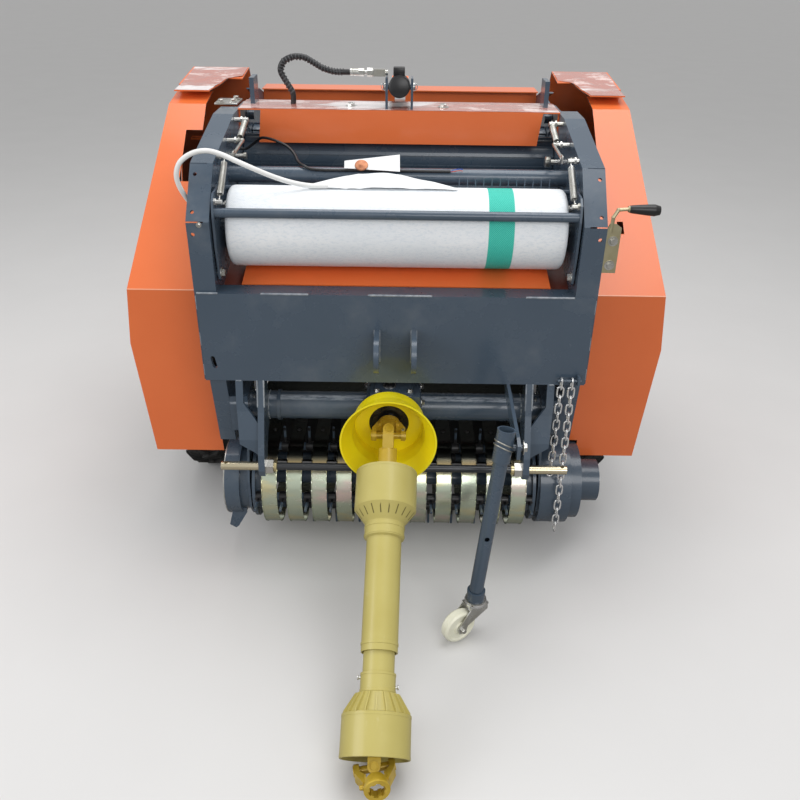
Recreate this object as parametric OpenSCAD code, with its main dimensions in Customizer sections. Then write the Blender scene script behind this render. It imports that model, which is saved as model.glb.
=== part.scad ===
// Small three-point-hitch round baler with net wrap, parked on two wheels and a castor stand.
// +Y is the rear of the machine, +X its right side, +Z up, floor at z = 0.
// Inside the modules y is counted from the lower link pins, and place() moves it to the row frame.

/* [Chamber] */
// Diameter of a finished bale
bale_d = 500; // [480:5:515]
// Clear width between the two side plates
chamber_w = 840; // [820:5:880]
// Height of the chamber's centre above the floor
chamber_z = 680; // [672:2:690]
// Distance of the chamber's centre behind the lower link pins
chamber_y = 650; // [645:1:660]
// Outer diameter of a chamber roller over its flutes
roller_d = 110; // [100:1:114]
// Wall of a chamber roller
roller_wall = 3; // [2.5:0.5:5]
// Diameter of a roller's journal
journal_d = 35; // [25:1:40]
// Number of flutes on a roller
flutes = 10; // [8:1:12]
// Running clearance of a journal in its bearing, on the radius
run_gap = 0.05; // [0.02:0.01:0.1]
// Angle from one roller to the next
roller_step = 26; // [25:0.25:26.5]

/* [Frame] */
// Thickness of the side plates
plate_t = 8; // [5:1:10]
// Width of the side plates' front flange
flange_w = 44; // [36:1:46]
// Thickness of the folded flanges
flange_t = 6; // [4:0.5:8]
// Distance of the side plates' front edge behind the lower link pins
plate_front = 62; // [56:1:68]
// Height of the side plates' lower front corner
plate_low = 345; // [342:1:360]
// Height of the side plates' top edge
plate_top = 1108; // [1102:1:1114]
// Width of the front beam
beam_w = 936; // [920:2:944]
// Height of the front beam's face
beam_h = 230; // [210:2:240]
// Height of the front beam's lower edge
beam_low = 547; // [540:1:556]
// Depth of the front beam's top and bottom flanges
beam_d = 50; // [40:1:70]
// Thickness of the front beam's plate
beam_t = 6; // [4:0.5:8]

/* [Hitch] */
// Height of the lower link pins
pin_z = 330; // [325:1:335]
// Diameter of the lower link pins, category 1
pin_d = 22; // [20:0.5:24]
// Distance between the shoulders of the lower link pins
pin_span = 683; // [676:1:690]
// Length of a lower link pin beyond its shoulder
pin_len = 98; // [80:1:100]
// Bore of the top link lugs
top_bore_d = 19.4; // [18:0.2:22]
// Clear gap between the top link lugs
top_gap = 76; // [60:1:90]

/* [Running gear] */
// Distance of the axle behind the lower link pins
axle_y = 550; // [540:2:560]
// Outer diameter of the tyres over their lugs
tyre_d = 415; // [405:1:420]
// Width of a tyre
tyre_w = 130; // [120:1:134]
// Half the track from tyre centre to tyre centre
half_track = 590; // [586:1:594]
// Diameter of the axle tube
axle_d = 50; // [45:1:60]

/* [Pickup] */
// Height of the pickup reel's shaft
reel_z = 196; // [192:1:200]
// Distance of the reel's shaft behind the lower link pins
reel_y = 150; // [148:1:156]
// Number of tines in one row
tines = 12; // [12:1:12]
// Distance from tine to tine
tine_pitch = 66; // [64:0.5:66]
// Radius to the tine tips
tine_r = 160; // [150:1:162]
// Outer radius of the stripper bands
band_r = 125; // [120:1:128]
// Width of a stripper band
band_w = 39; // [34:1:42]

/* [Net wrap] */
// Diameter of the net roll
net_d = 190; // [170:2:192]
// Length of the net roll
net_len = 790; // [780:1:800]

/* [Drive shaft] */
// Diameter of the drive shaft's guard bells
bell_d = 145; // [140:1:145]
// Diameter of the outer guard tube
guard_d = 80; // [76:1:84]
// Diameter of the inner guard tube
inner_guard_d = 68; // [62:1:70]
// Distance from joint to joint
shaft_len = 745; // [742:1:745]
// Diameter of the splined bore's size circle at the tractor end
spline_d = 35; // [34:0.5:36]

/* [Stand] */
// Diameter of the stand's sleeve
sleeve_d = 42; // [40:1:44]
// Diameter of the stand's tube
stand_d = 34; // [30:1:36]
// Diameter of the castor wheel
castor_d = 88; // [84:1:92]
// Width of the castor wheel
castor_w = 28; // [24:1:30]

/* [Tailgate] */
// Height of the tailgate's hinge
hinge_z = 1068; // [1066:1:1072]
// Diameter of the hinge pins
hinge_d = 25; // [22:1:28]
// Radius of the tailgate's hinge ears
ear_r = 35; // [32:1:36]
// Gap between the front frame and the tailgate
split_gap = 8; // [6:0.5:10]
// Diameter of the hydraulic cylinder's barrel
barrel_d = 55; // [50:1:57]
// Diameter of the hydraulic cylinder's rod
rod_d = 28; // [25:1:32]

/* [Covers] */
// Thickness of the orange sheet covers
sheet_t = 3; // [2:0.5:4]
// Half width of the machine over the covers at their fold
cover_half = 690; // [684:1:696]
// Height of the covers' horizontal side fold
fold_z = 580; // [570:1:590]

/* [Hidden] */
$fn = 48;

blue = [0.23, 0.29, 0.35];
orange = [0.93, 0.44, 0.2];
yellow = [0.93, 0.79, 0.1];
zinc = [0.75, 0.76, 0.74];
black = [0.1, 0.1, 0.11];

// Reach of the drive shaft ahead of the pins and of the tailgate behind them
front_reach = 720.8;
rear_reach = 1062;
module place() translate([0, (front_reach - rear_reach) / 2, 0]) children();

// Chamber rollers: ring radius, and each roller's angle from the rear, counted upwards
bale_gap = 2;
ring_r = bale_d / 2 + bale_gap + roller_d / 2;
first_angle = 78 - 6 * roller_step;
gate_angles = [for (i = [0 : 6]) first_angle + i * roller_step];
front_angles = [for (i = [7 : 10]) first_angle + i * roller_step];
low_front_angle = first_angle - roller_step;
function ring_at(angle) = [chamber_y + ring_r * cos(angle), chamber_z + ring_r * sin(angle)];
in_half = chamber_w / 2;
out_half = in_half + plate_t;
roller_len = chamber_w - 4;
journal_out = 14;

// Tailgate hinge, level with the split between front frame and tailgate
split_y = chamber_y - 5;
hinge_y = chamber_y;

// Outline helpers: unit normal of a stretch, and the same outline moved sideways by t
function side(a, b) = let (d = b - a) [d[1], -d[0]] / norm(d);
function shifted(pts, i, t) =
  let (n1 = i == 0 ? side(pts[0], pts[1]) : side(pts[i - 1], pts[i]))
  let (n2 = i == len(pts) - 1 ? n1 : side(pts[i], pts[i + 1]))
  let (m = n1 + n2)
  pts[i] + m * 2 * t / (m * m);
function strip(pts, t) = concat(pts, [for (i = [len(pts) - 1 : -1 : 0]) shifted(pts, i, t)]);

// A flat outline in the y-z plane, given thickness t along x from x0
module plate_x(pts, x0, t) translate([x0, 0, 0]) rotate([90, 0, 90]) linear_extrude(t) polygon(pts);
// A round bar along x between x0 and x1 at y, z
module bar_x(x0, x1, y, z, d) translate([x0, y, z]) rotate([0, 90, 0]) cylinder(d = d, h = x1 - x0);
// A round bar between two points
module bar(a, b, d) translate(a) rotate([0, acos((b - a)[2] / norm(b - a)), atan2((b - a)[1], (b - a)[0])])
  cylinder(d = d, h = norm(b - a));
// Copies to the right side or mirrors to the left
module on_side(s) if (s > 0) children(); else mirror([1, 0, 0]) children();

// Front frame side plates
fold_low = 945;
fold_high = [plate_front + 98, fold_low + 107];
plate_edge = [
  [plate_front + 38, plate_low], [plate_front, beam_low], [plate_front, fold_low], fold_high,
  [chamber_y - 210, plate_top], [chamber_y - 110, plate_top]
];
// Holes in the front flange: y, z and the slope of the flange there
flange_holes = [[plate_front, 916, 0], [79, 963, 42], [141, 1032, 42]];
flange_hole_d = 9;
axle_z = tyre_d / 2;
axle_lobe = 42;
plate_back = split_y - split_gap / 2;
plate_outline = concat(plate_edge, [
  [plate_back, plate_top], [plate_back, 300], [axle_y + 62, 300], [axle_y + 48, axle_z - axle_lobe],
  [axle_y - 48, axle_z - axle_lobe], [axle_y - 90, 300], [axle_y - 190, plate_low]
]);
module side_slot() translate([443, plate_front + 20, 597]) rotate([90, 10, 0]) linear_extrude(60) union() {
  square([11, 22], center = true);
  for (s = [-1, 1]) translate([0, s * 11]) circle(d = 11);
}
module side_plate() {
  difference() {
    plate_x(plate_outline, in_half, plate_t);
    bar_x(in_half - 1, out_half + 1, hinge_y, hinge_z, 2 * (ear_r + 12));
    bar_x(in_half - 1, out_half + 1, axle_y, axle_z, axle_d + 2 * run_gap);
    for (a = concat(front_angles, [low_front_angle]))
      bar_x(in_half - 1, out_half + 1, ring_at(a)[0], ring_at(a)[1], journal_d + 2 * run_gap);
  }
  difference() {
    union() {
      plate_x(strip([plate_edge[0], plate_edge[1]], flange_t), out_half - 0.01, flange_w - 12);
      plate_x(strip([for (i = [1 : len(plate_edge) - 1]) plate_edge[i]], flange_t), out_half - 0.01,
        flange_w);
    }
    for (h = flange_holes) translate([out_half + 31, h[0], h[1]]) rotate([90 - h[2], 0, 0])
      cylinder(d = flange_hole_d, h = 40, center = true);
    // Relief slits at the two folds, and the slot beside the beam
    translate([out_half + 5, plate_front, fold_low]) rotate([-21, 0, 0]) translate([0, -14, -1.5])
      cube([flange_w, 28, 3]);
    translate([out_half + 5, fold_high[0], fold_high[1]]) rotate([-61, 0, 0]) translate([0, -14, -1])
      cube([flange_w, 28, 2]);
    side_slot();
  }
  // Lug that carries the tailgate's hinge pin
  difference() {
    union() {
      plate_x([
        [hinge_y - 110, hinge_z - 45], [hinge_y, hinge_z - 30], [hinge_y, hinge_z + 30],
        [hinge_y - 110, plate_top - 8]
      ], out_half, 10);
      bar_x(out_half, out_half + 10, hinge_y, hinge_z, 60);
    }
    bar_x(out_half - 1, out_half + 1, hinge_y, hinge_z, 2 * (ear_r + 2));
  }
  bar_x(in_half - 16, out_half + 14, hinge_y, hinge_z, hinge_d);
}
module side_plate_left() color(blue) place() on_side(-1) side_plate();
module side_plate_right() color(blue) place() on_side(1) side_plate();

// Front beam with the two top link lugs, and the arm that the castor stand turns on
lug_t = 12;
lug_x = top_gap / 2;
lug_y = plate_front - beam_t - 45;
lug_z = beam_low + 100;
arm_x = 276;
arm_t = 8;
stand_pivot = [-172, 510];
pivot_d = 16;
module front_beam() color(blue) place() {
  front = plate_front;
  difference() {
    translate([-beam_w / 2, front - beam_t, beam_low]) cube([beam_w, beam_t, beam_h]);
    mirror([1, 0, 0]) side_slot();
  }
  translate([-in_half, front - 1, beam_low + beam_h - beam_t]) cube([2 * in_half, beam_d + 1, beam_t]);
  translate([-in_half, front - 1, beam_low]) cube([2 * in_half, beam_d + 1, beam_t]);
  for (s = [-1, 1]) translate([s > 0 ? lug_x : -lug_x - lug_t, 0, 0]) difference() {
    union() {
      translate([0, lug_y, lug_z - 45]) cube([lug_t, front - beam_t - lug_y + 1, 90]);
      bar_x(0, lug_t, lug_y, lug_z, 90);
    }
    bar_x(-1, lug_t + 1, lug_y, lug_z, top_bore_d);
  }
  difference() {
    plate_x([
      [-192, 490], [-150, 490], [60, 512], [front + beam_d, 530], [front + beam_d, beam_low + 1],
      [front - beam_t, beam_low + 1], [-165, 532], [-192, 525]
    ], arm_x, arm_t);
    bar_x(arm_x - 1, arm_x + arm_t + 1, stand_pivot[0], stand_pivot[1], pivot_d + 2 * run_gap);
  }
}

// Hitch brackets: plates from the beam down to the lower link pins, with a leaf towards the side plate
bracket_t = 16;
bracket_pts = [
  [plate_front + beam_d, beam_low], [plate_front - beam_t, beam_low], [30, 470], [-14, 370], [-24, 330],
  [-16, 310], [0, 304], [16, 310], [26, 330], [60, 392], [90, 404]
];
leaf_pts = [
  [plate_front - beam_t, beam_low], [36, 470], [12, 400], [4, 334], [12, 334], [20, 400], [44, 470],
  [plate_front + 2, beam_low]
];
tube_y = 125;
tube_z = 440;
tube_d = 72;
module hitch_bracket() difference() {
  union() {
    plate_x(bracket_pts, pin_span / 2 - bracket_t, bracket_t);
    // Gusset, narrow under the beam and wide above the pin
    intersection() {
      plate_x(leaf_pts, pin_span / 2 - 1, 60);
      translate([pin_span / 2, 100, 0]) rotate([90, 0, 0]) linear_extrude(200) polygon([
        [36, beam_low + 1], [54, beam_low + 1], [54, 490], [48, 388], [15, 368], [-1, 356], [-1, 438],
        [36, 490]
      ]);
    }
  }
  bar_x(pin_span / 2 - bracket_t - 1, pin_span / 2 + 1, 0, pin_z, pin_d - 2 + 2 * run_gap);
  bar_x(pin_span / 2 - bracket_t - 1, pin_span / 2 + 1, tube_y, tube_z, tube_d + 2 * run_gap);
}
module hitch_bracket_left() color(blue) place() on_side(-1) hitch_bracket();
module hitch_bracket_right() color(blue) place() on_side(1) hitch_bracket();

// Lower link pins, joined by the cross rod between the two hitch brackets
module lower_link_shaft() color(zinc) place() difference() {
  union() {
    bar_x(-pin_span / 2 - 1, pin_span / 2 + 1, 0, pin_z, pin_d - 2);
    for (s = [-1, 1]) bar_x(s > 0 ? pin_span / 2 : -pin_span / 2 - pin_len,
      s > 0 ? pin_span / 2 + pin_len : -pin_span / 2, 0, pin_z, pin_d);
    for (s = [-1, 1]) translate([s * (pin_span / 2 - bracket_t - 9.9), 0, pin_z]) rotate([0, 90, 0])
      cylinder(d = 39, h = 19.6, center = true, $fn = 6);
  }
  for (s = [-1, 1]) translate([s * (pin_span / 2 + pin_len - 12), 0, pin_z - 20]) cylinder(d = 11, h = 40);
}

// Drive line: cross tube, gearbox and the fixed guard cone
tube_end = pin_span / 2 + 32;
module drive_tube() color(blue) place() {
  bar_x(-tube_end - 1, tube_end + 1, tube_y, tube_z, tube_d);
  for (s = [-1, 1]) translate([s > 0 ? tube_end : -in_half, tube_y - 50, tube_z - 50])
    cube([in_half - tube_end, 100, 100]);
}
joint_x = -14;
joint_y = -20;
joint_z = tube_z;
box_front = tube_y - 75;
boss_front = 30;
cone_back = 43;
box_half = 62;
module gearbox() color(blue) place() {
  difference() {
    translate([-box_half, box_front, tube_z - 70]) cube([2 * box_half, 150, 140]);
    bar_x(-box_half - 1, box_half + 1, tube_y, tube_z, tube_d + 2 * run_gap);
  }
  // Front cover and the seal's boss, on the drive shaft's axis
  translate([joint_x, box_front + 1, joint_z]) rotate([90, 0, 0])
    cylinder(d = 130, h = box_front + 1 - cone_back);
  translate([joint_x, cone_back + 1, joint_z]) rotate([90, 0, 0])
    cylinder(d = 48, h = cone_back + 1 - boss_front);
}
cone_rim_r = 118;
module pto_guard_cone() color(yellow) place() translate([joint_x, 0, joint_z]) rotate([90, 0, 0])
  rotate_extrude() polygon([
    [50, -cone_back], [88, -cone_back], [90, -40], [90, -11], [94, 14], [cone_rim_r - 2, 54],
    [cone_rim_r, 58],
    [cone_rim_r - 4, 58], [90, 15], [86, -10], [86, -39], [50, -39]
  ]);

// One universal joint fork: pin axis along x, its shaft along +y to hub_end
ear_in = 30;
ear_out = 41;
ear_round = 13;
cross_d = 16;
slot_r = 43.5;
slot_half = 18;
module fork(hub_end, hub_r) difference() {
  union() {
    for (m = [0, 1]) mirror([m, 0, 0]) {
      bar_x(ear_in, ear_out, 0, 0, 2 * ear_round);
      translate([0, 0, -ear_round]) linear_extrude(2 * ear_round) polygon([
        [ear_in, 0], [ear_out, 0], [ear_out, 16], [hub_r, 44], [slot_half - 2, 44], [slot_half - 2, 28],
        [ear_in, 14]
      ]);
    }
    translate([0, 28, 0]) rotate([-90, 0, 0]) cylinder(r = hub_r, h = hub_end - 28);
  }
  bar_x(-slot_half, slot_half, 0, 0, 2 * slot_r);
  bar_x(-ear_out - 1, ear_out + 1, 0, 0, cross_d + 2 * run_gap);
}
module cross() {
  for (a = [0, 90]) rotate([0, a, 0]) cylinder(d = cross_d, h = 2 * ear_out - 1, center = true);
  sphere(d = 25);
}
module pto_input_yoke() color(yellow) place() translate([joint_x, joint_y, joint_z])
  fork(boss_front - joint_y, 29);

// Shaft frame: x across, z square to the shaft, the shaft running along -y from the near joint
shaft_tilt = 31.15;
shaft_yaw = -1.1;
module along_cross() place() translate([joint_x, joint_y, joint_z]) rotate([shaft_tilt, 0, 0]) children();
module along_shaft() along_cross() rotate([0, 0, shaft_yaw]) children();
module turned(profile) rotate([90, 0, 0]) rotate_extrude() polygon(profile);
module ring(from, to, inner_r, outer_r) turned([[inner_r, from], [outer_r, from], [outer_r, to],
  [inner_r, to]]);
bell_r = bell_d / 2;
outer_r = guard_d / 2;
inner_r = inner_guard_d / 2;
profile_r = 18;
module pto_cross() color(zinc) along_cross() cross();
module pto_outer() color(yellow) along_shaft() {
  rotate([0, 0, 180]) rotate([0, 90, 0]) fork(101, 22);
  ring(100, 500, profile_r, 22);
  ring(230, 236, 21, 45);
  turned([
    [bell_r - 4, 102], [bell_r, 102], [bell_r, 197], [48, 229], [46, 232], [46, 265], [outer_r, 268],
    [outer_r, 520], [outer_r - 3, 520], [outer_r - 3, 266], [42, 262], [42, 234], [44, 228], [bell_r - 4, 195]
  ]);
}
module pto_inner() color(yellow) along_shaft() {
  translate([0, -shaft_len, 0]) rotate([0, 90, 0]) fork(96, 22);
  ring(300, shaft_len - 95, 13, profile_r - 0.3);
  ring(594, 600, 16, 33);
  turned([
    [inner_r - 3, 300], [inner_r, 300], [inner_r, 563], [37.5, 563], [37.5, 602], [43, 604], [65, 644],
    [bell_r, 646], [bell_r, 730], [bell_r - 4, 730], [bell_r - 4, 650], [62, 647], [40, 608],
    [inner_r - 3, 600]
  ]);
}
// Tractor end, turned up and to one side as it lies
end_turn = 11.1;
end_bend = -41.15;
hub_end = 59;
module at_end() along_shaft() translate([0, -shaft_len, 0]) rotate([0, 0, end_turn]) children();
module pto_end_cross() color(zinc) at_end() cross();
module pto_end_yoke() color(yellow) at_end() rotate([end_bend, 0, 0]) rotate([0, 0, 180]) difference() {
  fork(hub_end, 25.5);
  rotate([-90, 0, 0]) cylinder(d = spline_d, h = hub_end + 1);
}

// Axle, wheels
module axle() color(blue) place() {
  bar_x(-half_track + 62, half_track - 62, axle_y, axle_z, axle_d);
  for (s = [-1, 1]) bar_x(s > 0 ? half_track - 63 : -half_track - 50,
    s > 0 ? half_track + 50 : 63 - half_track, axle_y, axle_z, 25);
}
rim_r = 103.5;
rim_half = 46;
lugs = 16;
lug_deep = 10;
module tyre() translate([half_track, axle_y, axle_z]) rotate([0, 90, 0]) {
  r = tyre_d / 2;
  half = tyre_w / 2;
  rotate_extrude() polygon([
    [rim_r, -rim_half], [r - 60, -half], [r - 28, -half + 5], [r - 14, -half + 20], [r - lug_deep, 0],
    [r - 14, half - 20], [r - 28, half - 5], [r - 60, half], [rim_r, rim_half]
  ]);
  // Slanted lugs, left and right in turn
  intersection() {
    rotate_extrude() polygon([
      [r - 50, 4 - half], [r - 20, 4 - half], [r - 2, 24 - half], [r, 0], [r - 2, half - 24],
      [r - 20, half - 4], [r - 50, half - 4]
    ]);
    for (i = [0 : lugs - 1], m = [0, 1]) rotate((i + m / 2) * 360 / lugs) mirror([0, 0, m])
      rotate([28, 0, 0]) translate([r - 30, -7, -6]) cube([40, 14, 90]);
  }
}
module rim() translate([half_track, axle_y, axle_z]) rotate([0, 90, 0]) rotate_extrude() polygon([
  [12.55, -48], [30, -48], [30, -6], [70, -6], [rim_r - 4, -rim_half], [rim_r - 0.02, -rim_half],
  [rim_r - 0.02, rim_half], [rim_r - 4, rim_half], [70, 2], [30, 2], [30, 40], [12.55, 40]
]);
module tyre_left() color(black) place() on_side(-1) tyre();
module tyre_right() color(black) place() on_side(1) tyre();
module rim_left() color(blue) place() on_side(-1) rim();
module rim_right() color(blue) place() on_side(1) rim();

// Orange covers: an outline in the side view, cut to the tapered width seen from the front
front_cover_pts = [
  [190, 250], [190, 730], [657, 1094], [757, 1112], [757, 440], [345, 440], [300, 250]
];
rear_cover_pts = [
  [772, 440], [772, 1128], [960, 1150], [1060, 985], [1060, 560], [960, 400], [860, 360]
];
function cover_x(z) = z > fold_z ? cover_half - (z - fold_z) * 0.095 : cover_half - (fold_z - z) * 0.075;
// Inner edges of the covers seen from the front, as x and z from the top down
front_edge = [[538, 1200], [538, 1000], [505, 737], [475, 200]];
rear_edge = [[465, 1200], [465, 200]];
module taper(inset, edge) rotate([90, 0, 0]) translate([0, 0, -1500]) linear_extrude(1600) polygon(concat(
  edge, [[cover_x(200) - inset, 200], [cover_x(fold_z) - inset, fold_z], [cover_x(1200) - inset, 1200]]
));
module cover_shell(outer, inner, edge) difference() {
  intersection() {
    plate_x(outer, 400, 400);
    taper(0, edge);
  }
  intersection() {
    plate_x(inner, 399, 402);
    taper(sheet_t, [for (p = edge) p - [20, 0]]);
  }
}
front_cover_in = [
  [190 + sheet_t, 230], [190 + sheet_t, 730 - 1], [658, 1094 - sheet_t], [780, 1116 - sheet_t], [780, 230]
];
rear_cover_in = [
  [760, 1126.6 - sheet_t], [958, 1149.8 - sheet_t], [1060 - sheet_t, 984], [1060 - sheet_t, 561],
  [958, 403], [860, 350], [760, 350]
];
module cover_arm(y, z, x1) translate([out_half, y - 15, z - 3]) cube([x1 - out_half, 30, 6]);
module front_cover() {
  difference() {
    cover_shell(front_cover_pts, front_cover_in, front_edge);
    bar_x(460, 720, axle_y, axle_z, tyre_d + 50);
  }
  cover_arm(240, 600, cover_x(600) - 1);
  cover_arm(600, 800, cover_x(800) - 1);
}
module rear_cover() {
  difference() {
    union() {
      cover_shell(rear_cover_pts, rear_cover_in, rear_edge);
      // Flap that reaches over the front cover's top
      plate_x([[690, 1124 - sheet_t], [774, 1128 - sheet_t], [774, 1128], [690, 1124]], rear_edge[0][0], 167);
    }
    // The top's inner corner is cut back at a slant
    translate([0, 0, 1100]) linear_extrude(60) polygon([[460, 680], [534, 680], [508, 842], [460, 838]]);
  }
  cover_arm(900, 600, cover_x(600) - 1);
  cover_arm(900, 950, cover_x(950) - 1);
}
// The left cover has a notch behind the flange, the right one a window for the net lever
module front_cover_left() color(orange) place() on_side(-1) difference() {
  front_cover();
  translate([500, 380, 932]) cube([83, 320, 106]);
}
module front_cover_right() color(orange) place() on_side(1) difference() {
  front_cover();
  translate([572, 300, 842]) cube([16, 160, 24]);
  // Room for the pickup's drum
  translate([460, 180, 240]) cube([46, 90, 60]);
}
module rear_cover_left() color(orange) place() on_side(-1) rear_cover();
module rear_cover_right() color(orange) place() on_side(1) rear_cover();

// Panels round the net roll
panel_y = 500;
panel_top = 1111;
panel_low = 1026;
module top_panel() color(orange) place() {
  translate([0, panel_y + sheet_t, 0]) rotate([90, 0, 0]) linear_extrude(sheet_t) polygon([
    [-361, panel_top], [376, panel_top], [366, panel_low], [-370, panel_low]
  ]);
  translate([-in_half, panel_y, panel_top - sheet_t]) cube([2 * in_half, 134, sheet_t]);
  for (s = [-1, 1]) translate([s > 0 ? in_half - 4 : -in_half, panel_y + 10, 1050])
    cube([4, 60, panel_top - 1051]);
}
shelf_a = [118, 775];
shelf_b = [300, 822];
shelf_x = 370;
module net_shelf() color(orange) place() {
  plate_x(strip([shelf_b, shelf_a], sheet_t), -shelf_x, 2 * shelf_x);
  // Lower strips at both ends, and the tabs that hold the shelf
  for (s = [-1, 1]) {
    plate_x(strip([shelf_b - [0, 22], shelf_a - [0, 22]], sheet_t), s > 0 ? shelf_x - 4 : -in_half,
      in_half - shelf_x + 4);
    plate_x([shelf_b, shelf_a, shelf_a - [0, 23], shelf_b - [0, 23]], s > 0 ? shelf_x - 4 : -shelf_x, 4);
  }
}
net_y = 185;
net_z = 900;
net_shaft_d = 30;
cheek_x = 411;
cheek_t = 5;
cheek_pts = [
  [84, 802], [100, 792], [150, 800], [232, 850], [238, 960], [150, 1002], [100, 1000], [84, 986],
  [76, 950], [75, 880]
];
module net_bar() color(blue) place() {
  bar_x(-cheek_x - 1, cheek_x + 1, 92, 958, 22);
  bar_x(-cheek_x - 1, cheek_x + 1, net_y, net_z, net_shaft_d);
  for (s = [-1, 1]) {
    plate_x(cheek_pts, s > 0 ? cheek_x : -cheek_x - cheek_t, cheek_t);
    for (p = [[100, 812], [215, 940]])
      bar_x(s > 0 ? cheek_x + 4 : -in_half, s > 0 ? in_half : -cheek_x - 4, p[0], p[1], 18);
  }
}
module net_roll() color("white") place() difference() {
  bar_x(-net_len / 2, net_len / 2, net_y, net_z, net_d);
  bar_x(-net_len, net_len, net_y, net_z, net_shaft_d + 2 * run_gap);
}
feed_y = 330;
feed_z = 985;
module feed_bar() color(blue) place() {
  bar_x(-in_half, in_half, feed_y, feed_z, 40);
  // Comb of thin spikes on its own bar behind the net roll
  bar_x(-in_half, in_half, 275, 965, 14);
  for (i = [0 : 11]) translate([150 + i * 20, 275, 965]) cylinder(d = 3, h = 31, $fn = 8);
}
// Tension springs: x, then y and z of the lower and of the upper end
springs = [[401, 100, 980, 205, 1057], [390, 330, 1066, 440, 1094]];
spring_core = 11;
module tension_arms() color(zinc) place() for (m = [0, 1]) mirror([m, 0, 0]) {
  for (p = springs) bar([p[0], p[1], p[2]], [p[0], p[3], p[4]], spring_core);
  // Studs of the springs, the lowest on the cheek, the others on the side plate
  bar_x(springs[0][0] - 8, cheek_x, springs[0][1], springs[0][2], 14);
  bar_x(springs[0][0] - 8, in_half, springs[0][3], springs[0][4], 14);
  bar_x(springs[1][0] - 8, in_half, springs[1][1], springs[1][2], 14);
  bar_x(springs[1][0] - 8, in_half, springs[1][3], springs[1][4], 14);
  plate_x([[198, 1046], [212, 1046], [340, 1060], [340, 1074], [212, 1068], [198, 1068]],
    springs[1][0] - 12, 5);
}
lever_x = out_half + flange_w;
module net_lever() color(black) place() {
  translate([lever_x, plate_front + 4, 0]) rotate([90, 0, 0]) linear_extrude(4) polygon([
    [0, 839], [31, 839], [31, 945], [18, 954], [4, 954], [0, 944]
  ]);
  bar([480, 64, 935], [482, 66, 968], 8);
  translate([482, 66, 968]) sphere(d = 9);
  bar([482, 66, 968], [492, 70, 984], 8);
  translate([492, 70, 984]) sphere(d = 9);
  bar([492, 70, 984], [520, 72, 986], 8);
  translate([514, 71.6, 985.6]) rotate([0, 92, 0]) rotate_extrude() polygon([
    [0, 0], [7, 0], [9, 8], [12, 40], [13, 58], [10, 70], [0, 72]
  ]);
}
bracket_x = 30;
cyl_y = 532;
cyl_z = 1165;
module cylinder_bracket() color(blue) place() {
  for (s = [-1, 1]) translate([s > 0 ? bracket_x : -bracket_x - 6, cyl_y - 22, panel_top])
    cube([6, 44, 1188 - panel_top]);
  bar_x(-bracket_x - 12, bracket_x + 12, cyl_y, cyl_z, 16);
  // Ears on the top panel beside the hinge
  for (s = [-1, 1]) translate([s > 0 ? 384 : -396, 560, panel_top]) cube([12, 64, 1178 - panel_top]);
}
// Rod eye on the tailgate and the cylinder's resting direction
eye_y = 960;
eye_z = 1110;
cyl_len = norm([eye_y - cyl_y, eye_z - cyl_z]);
cyl_dip = atan2(cyl_z - eye_z, eye_y - cyl_y);
module along_cylinder() place() translate([0, cyl_y, cyl_z]) rotate([-cyl_dip, 0, 0]) children();
barrel_len = 230;
rod_start = 205;
module cylinder_barrel() color(black) along_cylinder() difference() {
  translate([0, -20, 0]) rotate([-90, 0, 0]) cylinder(d = barrel_d, h = barrel_len + 20);
  bar_x(-50, 50, 0, 0, 16 + 2 * run_gap);
  translate([0, 32, 0]) rotate([-90, 0, 0]) cylinder(d = rod_d + 12, h = barrel_len - 52);
  translate([0, 32, 0]) rotate([-90, 0, 0]) cylinder(d = rod_d + 2 * run_gap, h = barrel_len);
}
module cylinder_rod() color(zinc) along_cylinder() {
  translate([0, rod_start, 0]) rotate([-90, 0, 0]) cylinder(d = rod_d, h = cyl_len - rod_start - 20);
  difference() {
    translate([0, cyl_len, 0]) rotate([0, 90, 0]) cylinder(d = 50, h = 30, center = true);
    translate([0, cyl_len, 0]) rotate([0, 90, 0]) cylinder(d = 20, h = 40, center = true);
  }
}

// Pickup: stripper bands fixed to the frame, and the tined reel that turns inside them
band_back = 150;
side_x = 384;
side_t = 6;
reel_shaft_d = 30;
module stripper_bands() color(zinc) place() {
  for (i = [0 : tines - 2]) translate([(i - (tines - 2) / 2) * tine_pitch - band_w / 2, reel_y, reel_z]) {
    rotate([90, 0, 90]) linear_extrude(band_w) difference() {
      union() {
        circle(r = band_r);
        translate([0, -band_r]) square([band_back, 2 * band_r]);
      }
      circle(r = band_r - 3);
      translate([0, 3 - band_r]) square([band_back + 1, 2 * band_r - 6]);
    }
  }
  back = reel_y + band_back - 3;
  plate_x([
    [back, reel_z + band_r - 6], [510, 352], [510, 356], [back, reel_z + band_r]
  ], -side_x, 2 * side_x);
  translate([-360, back, reel_z - band_r]) cube([720, 20, 3]);
}
module pickup_reel() color(blue) place() {
  bar_x(-383, 383, reel_y, reel_z, 40);
  bar_x(-402, 402, reel_y, reel_z, reel_shaft_d);
  for (k = [0 : 3]) translate([0, reel_y, reel_z]) rotate([k * 90, 0, 0]) {
    bar_x(-372, 372, 0, 98, 22);
    for (i = [0 : tines - 1]) translate([(i - (tines - 1) / 2) * tine_pitch, 0, 98])
      cylinder(d = 7, h = tine_r - 98, $fn = 8);
  }
  for (s = [-1, 1]) {
    bar_x(s > 0 ? 353 : -373, s > 0 ? 373 : -353, reel_y, reel_z, 184);
    bar_x(s > 0 ? 370 : -378, s > 0 ? 378 : -370, reel_y, reel_z, 222);
  }
}
pickup_pts = [
  [52, 160], [52, 240], [90, 330], [110, 385], [330, 385], [330, 312], [250, 200], [220, 120], [150, 92],
  [85, 115]
];
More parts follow.
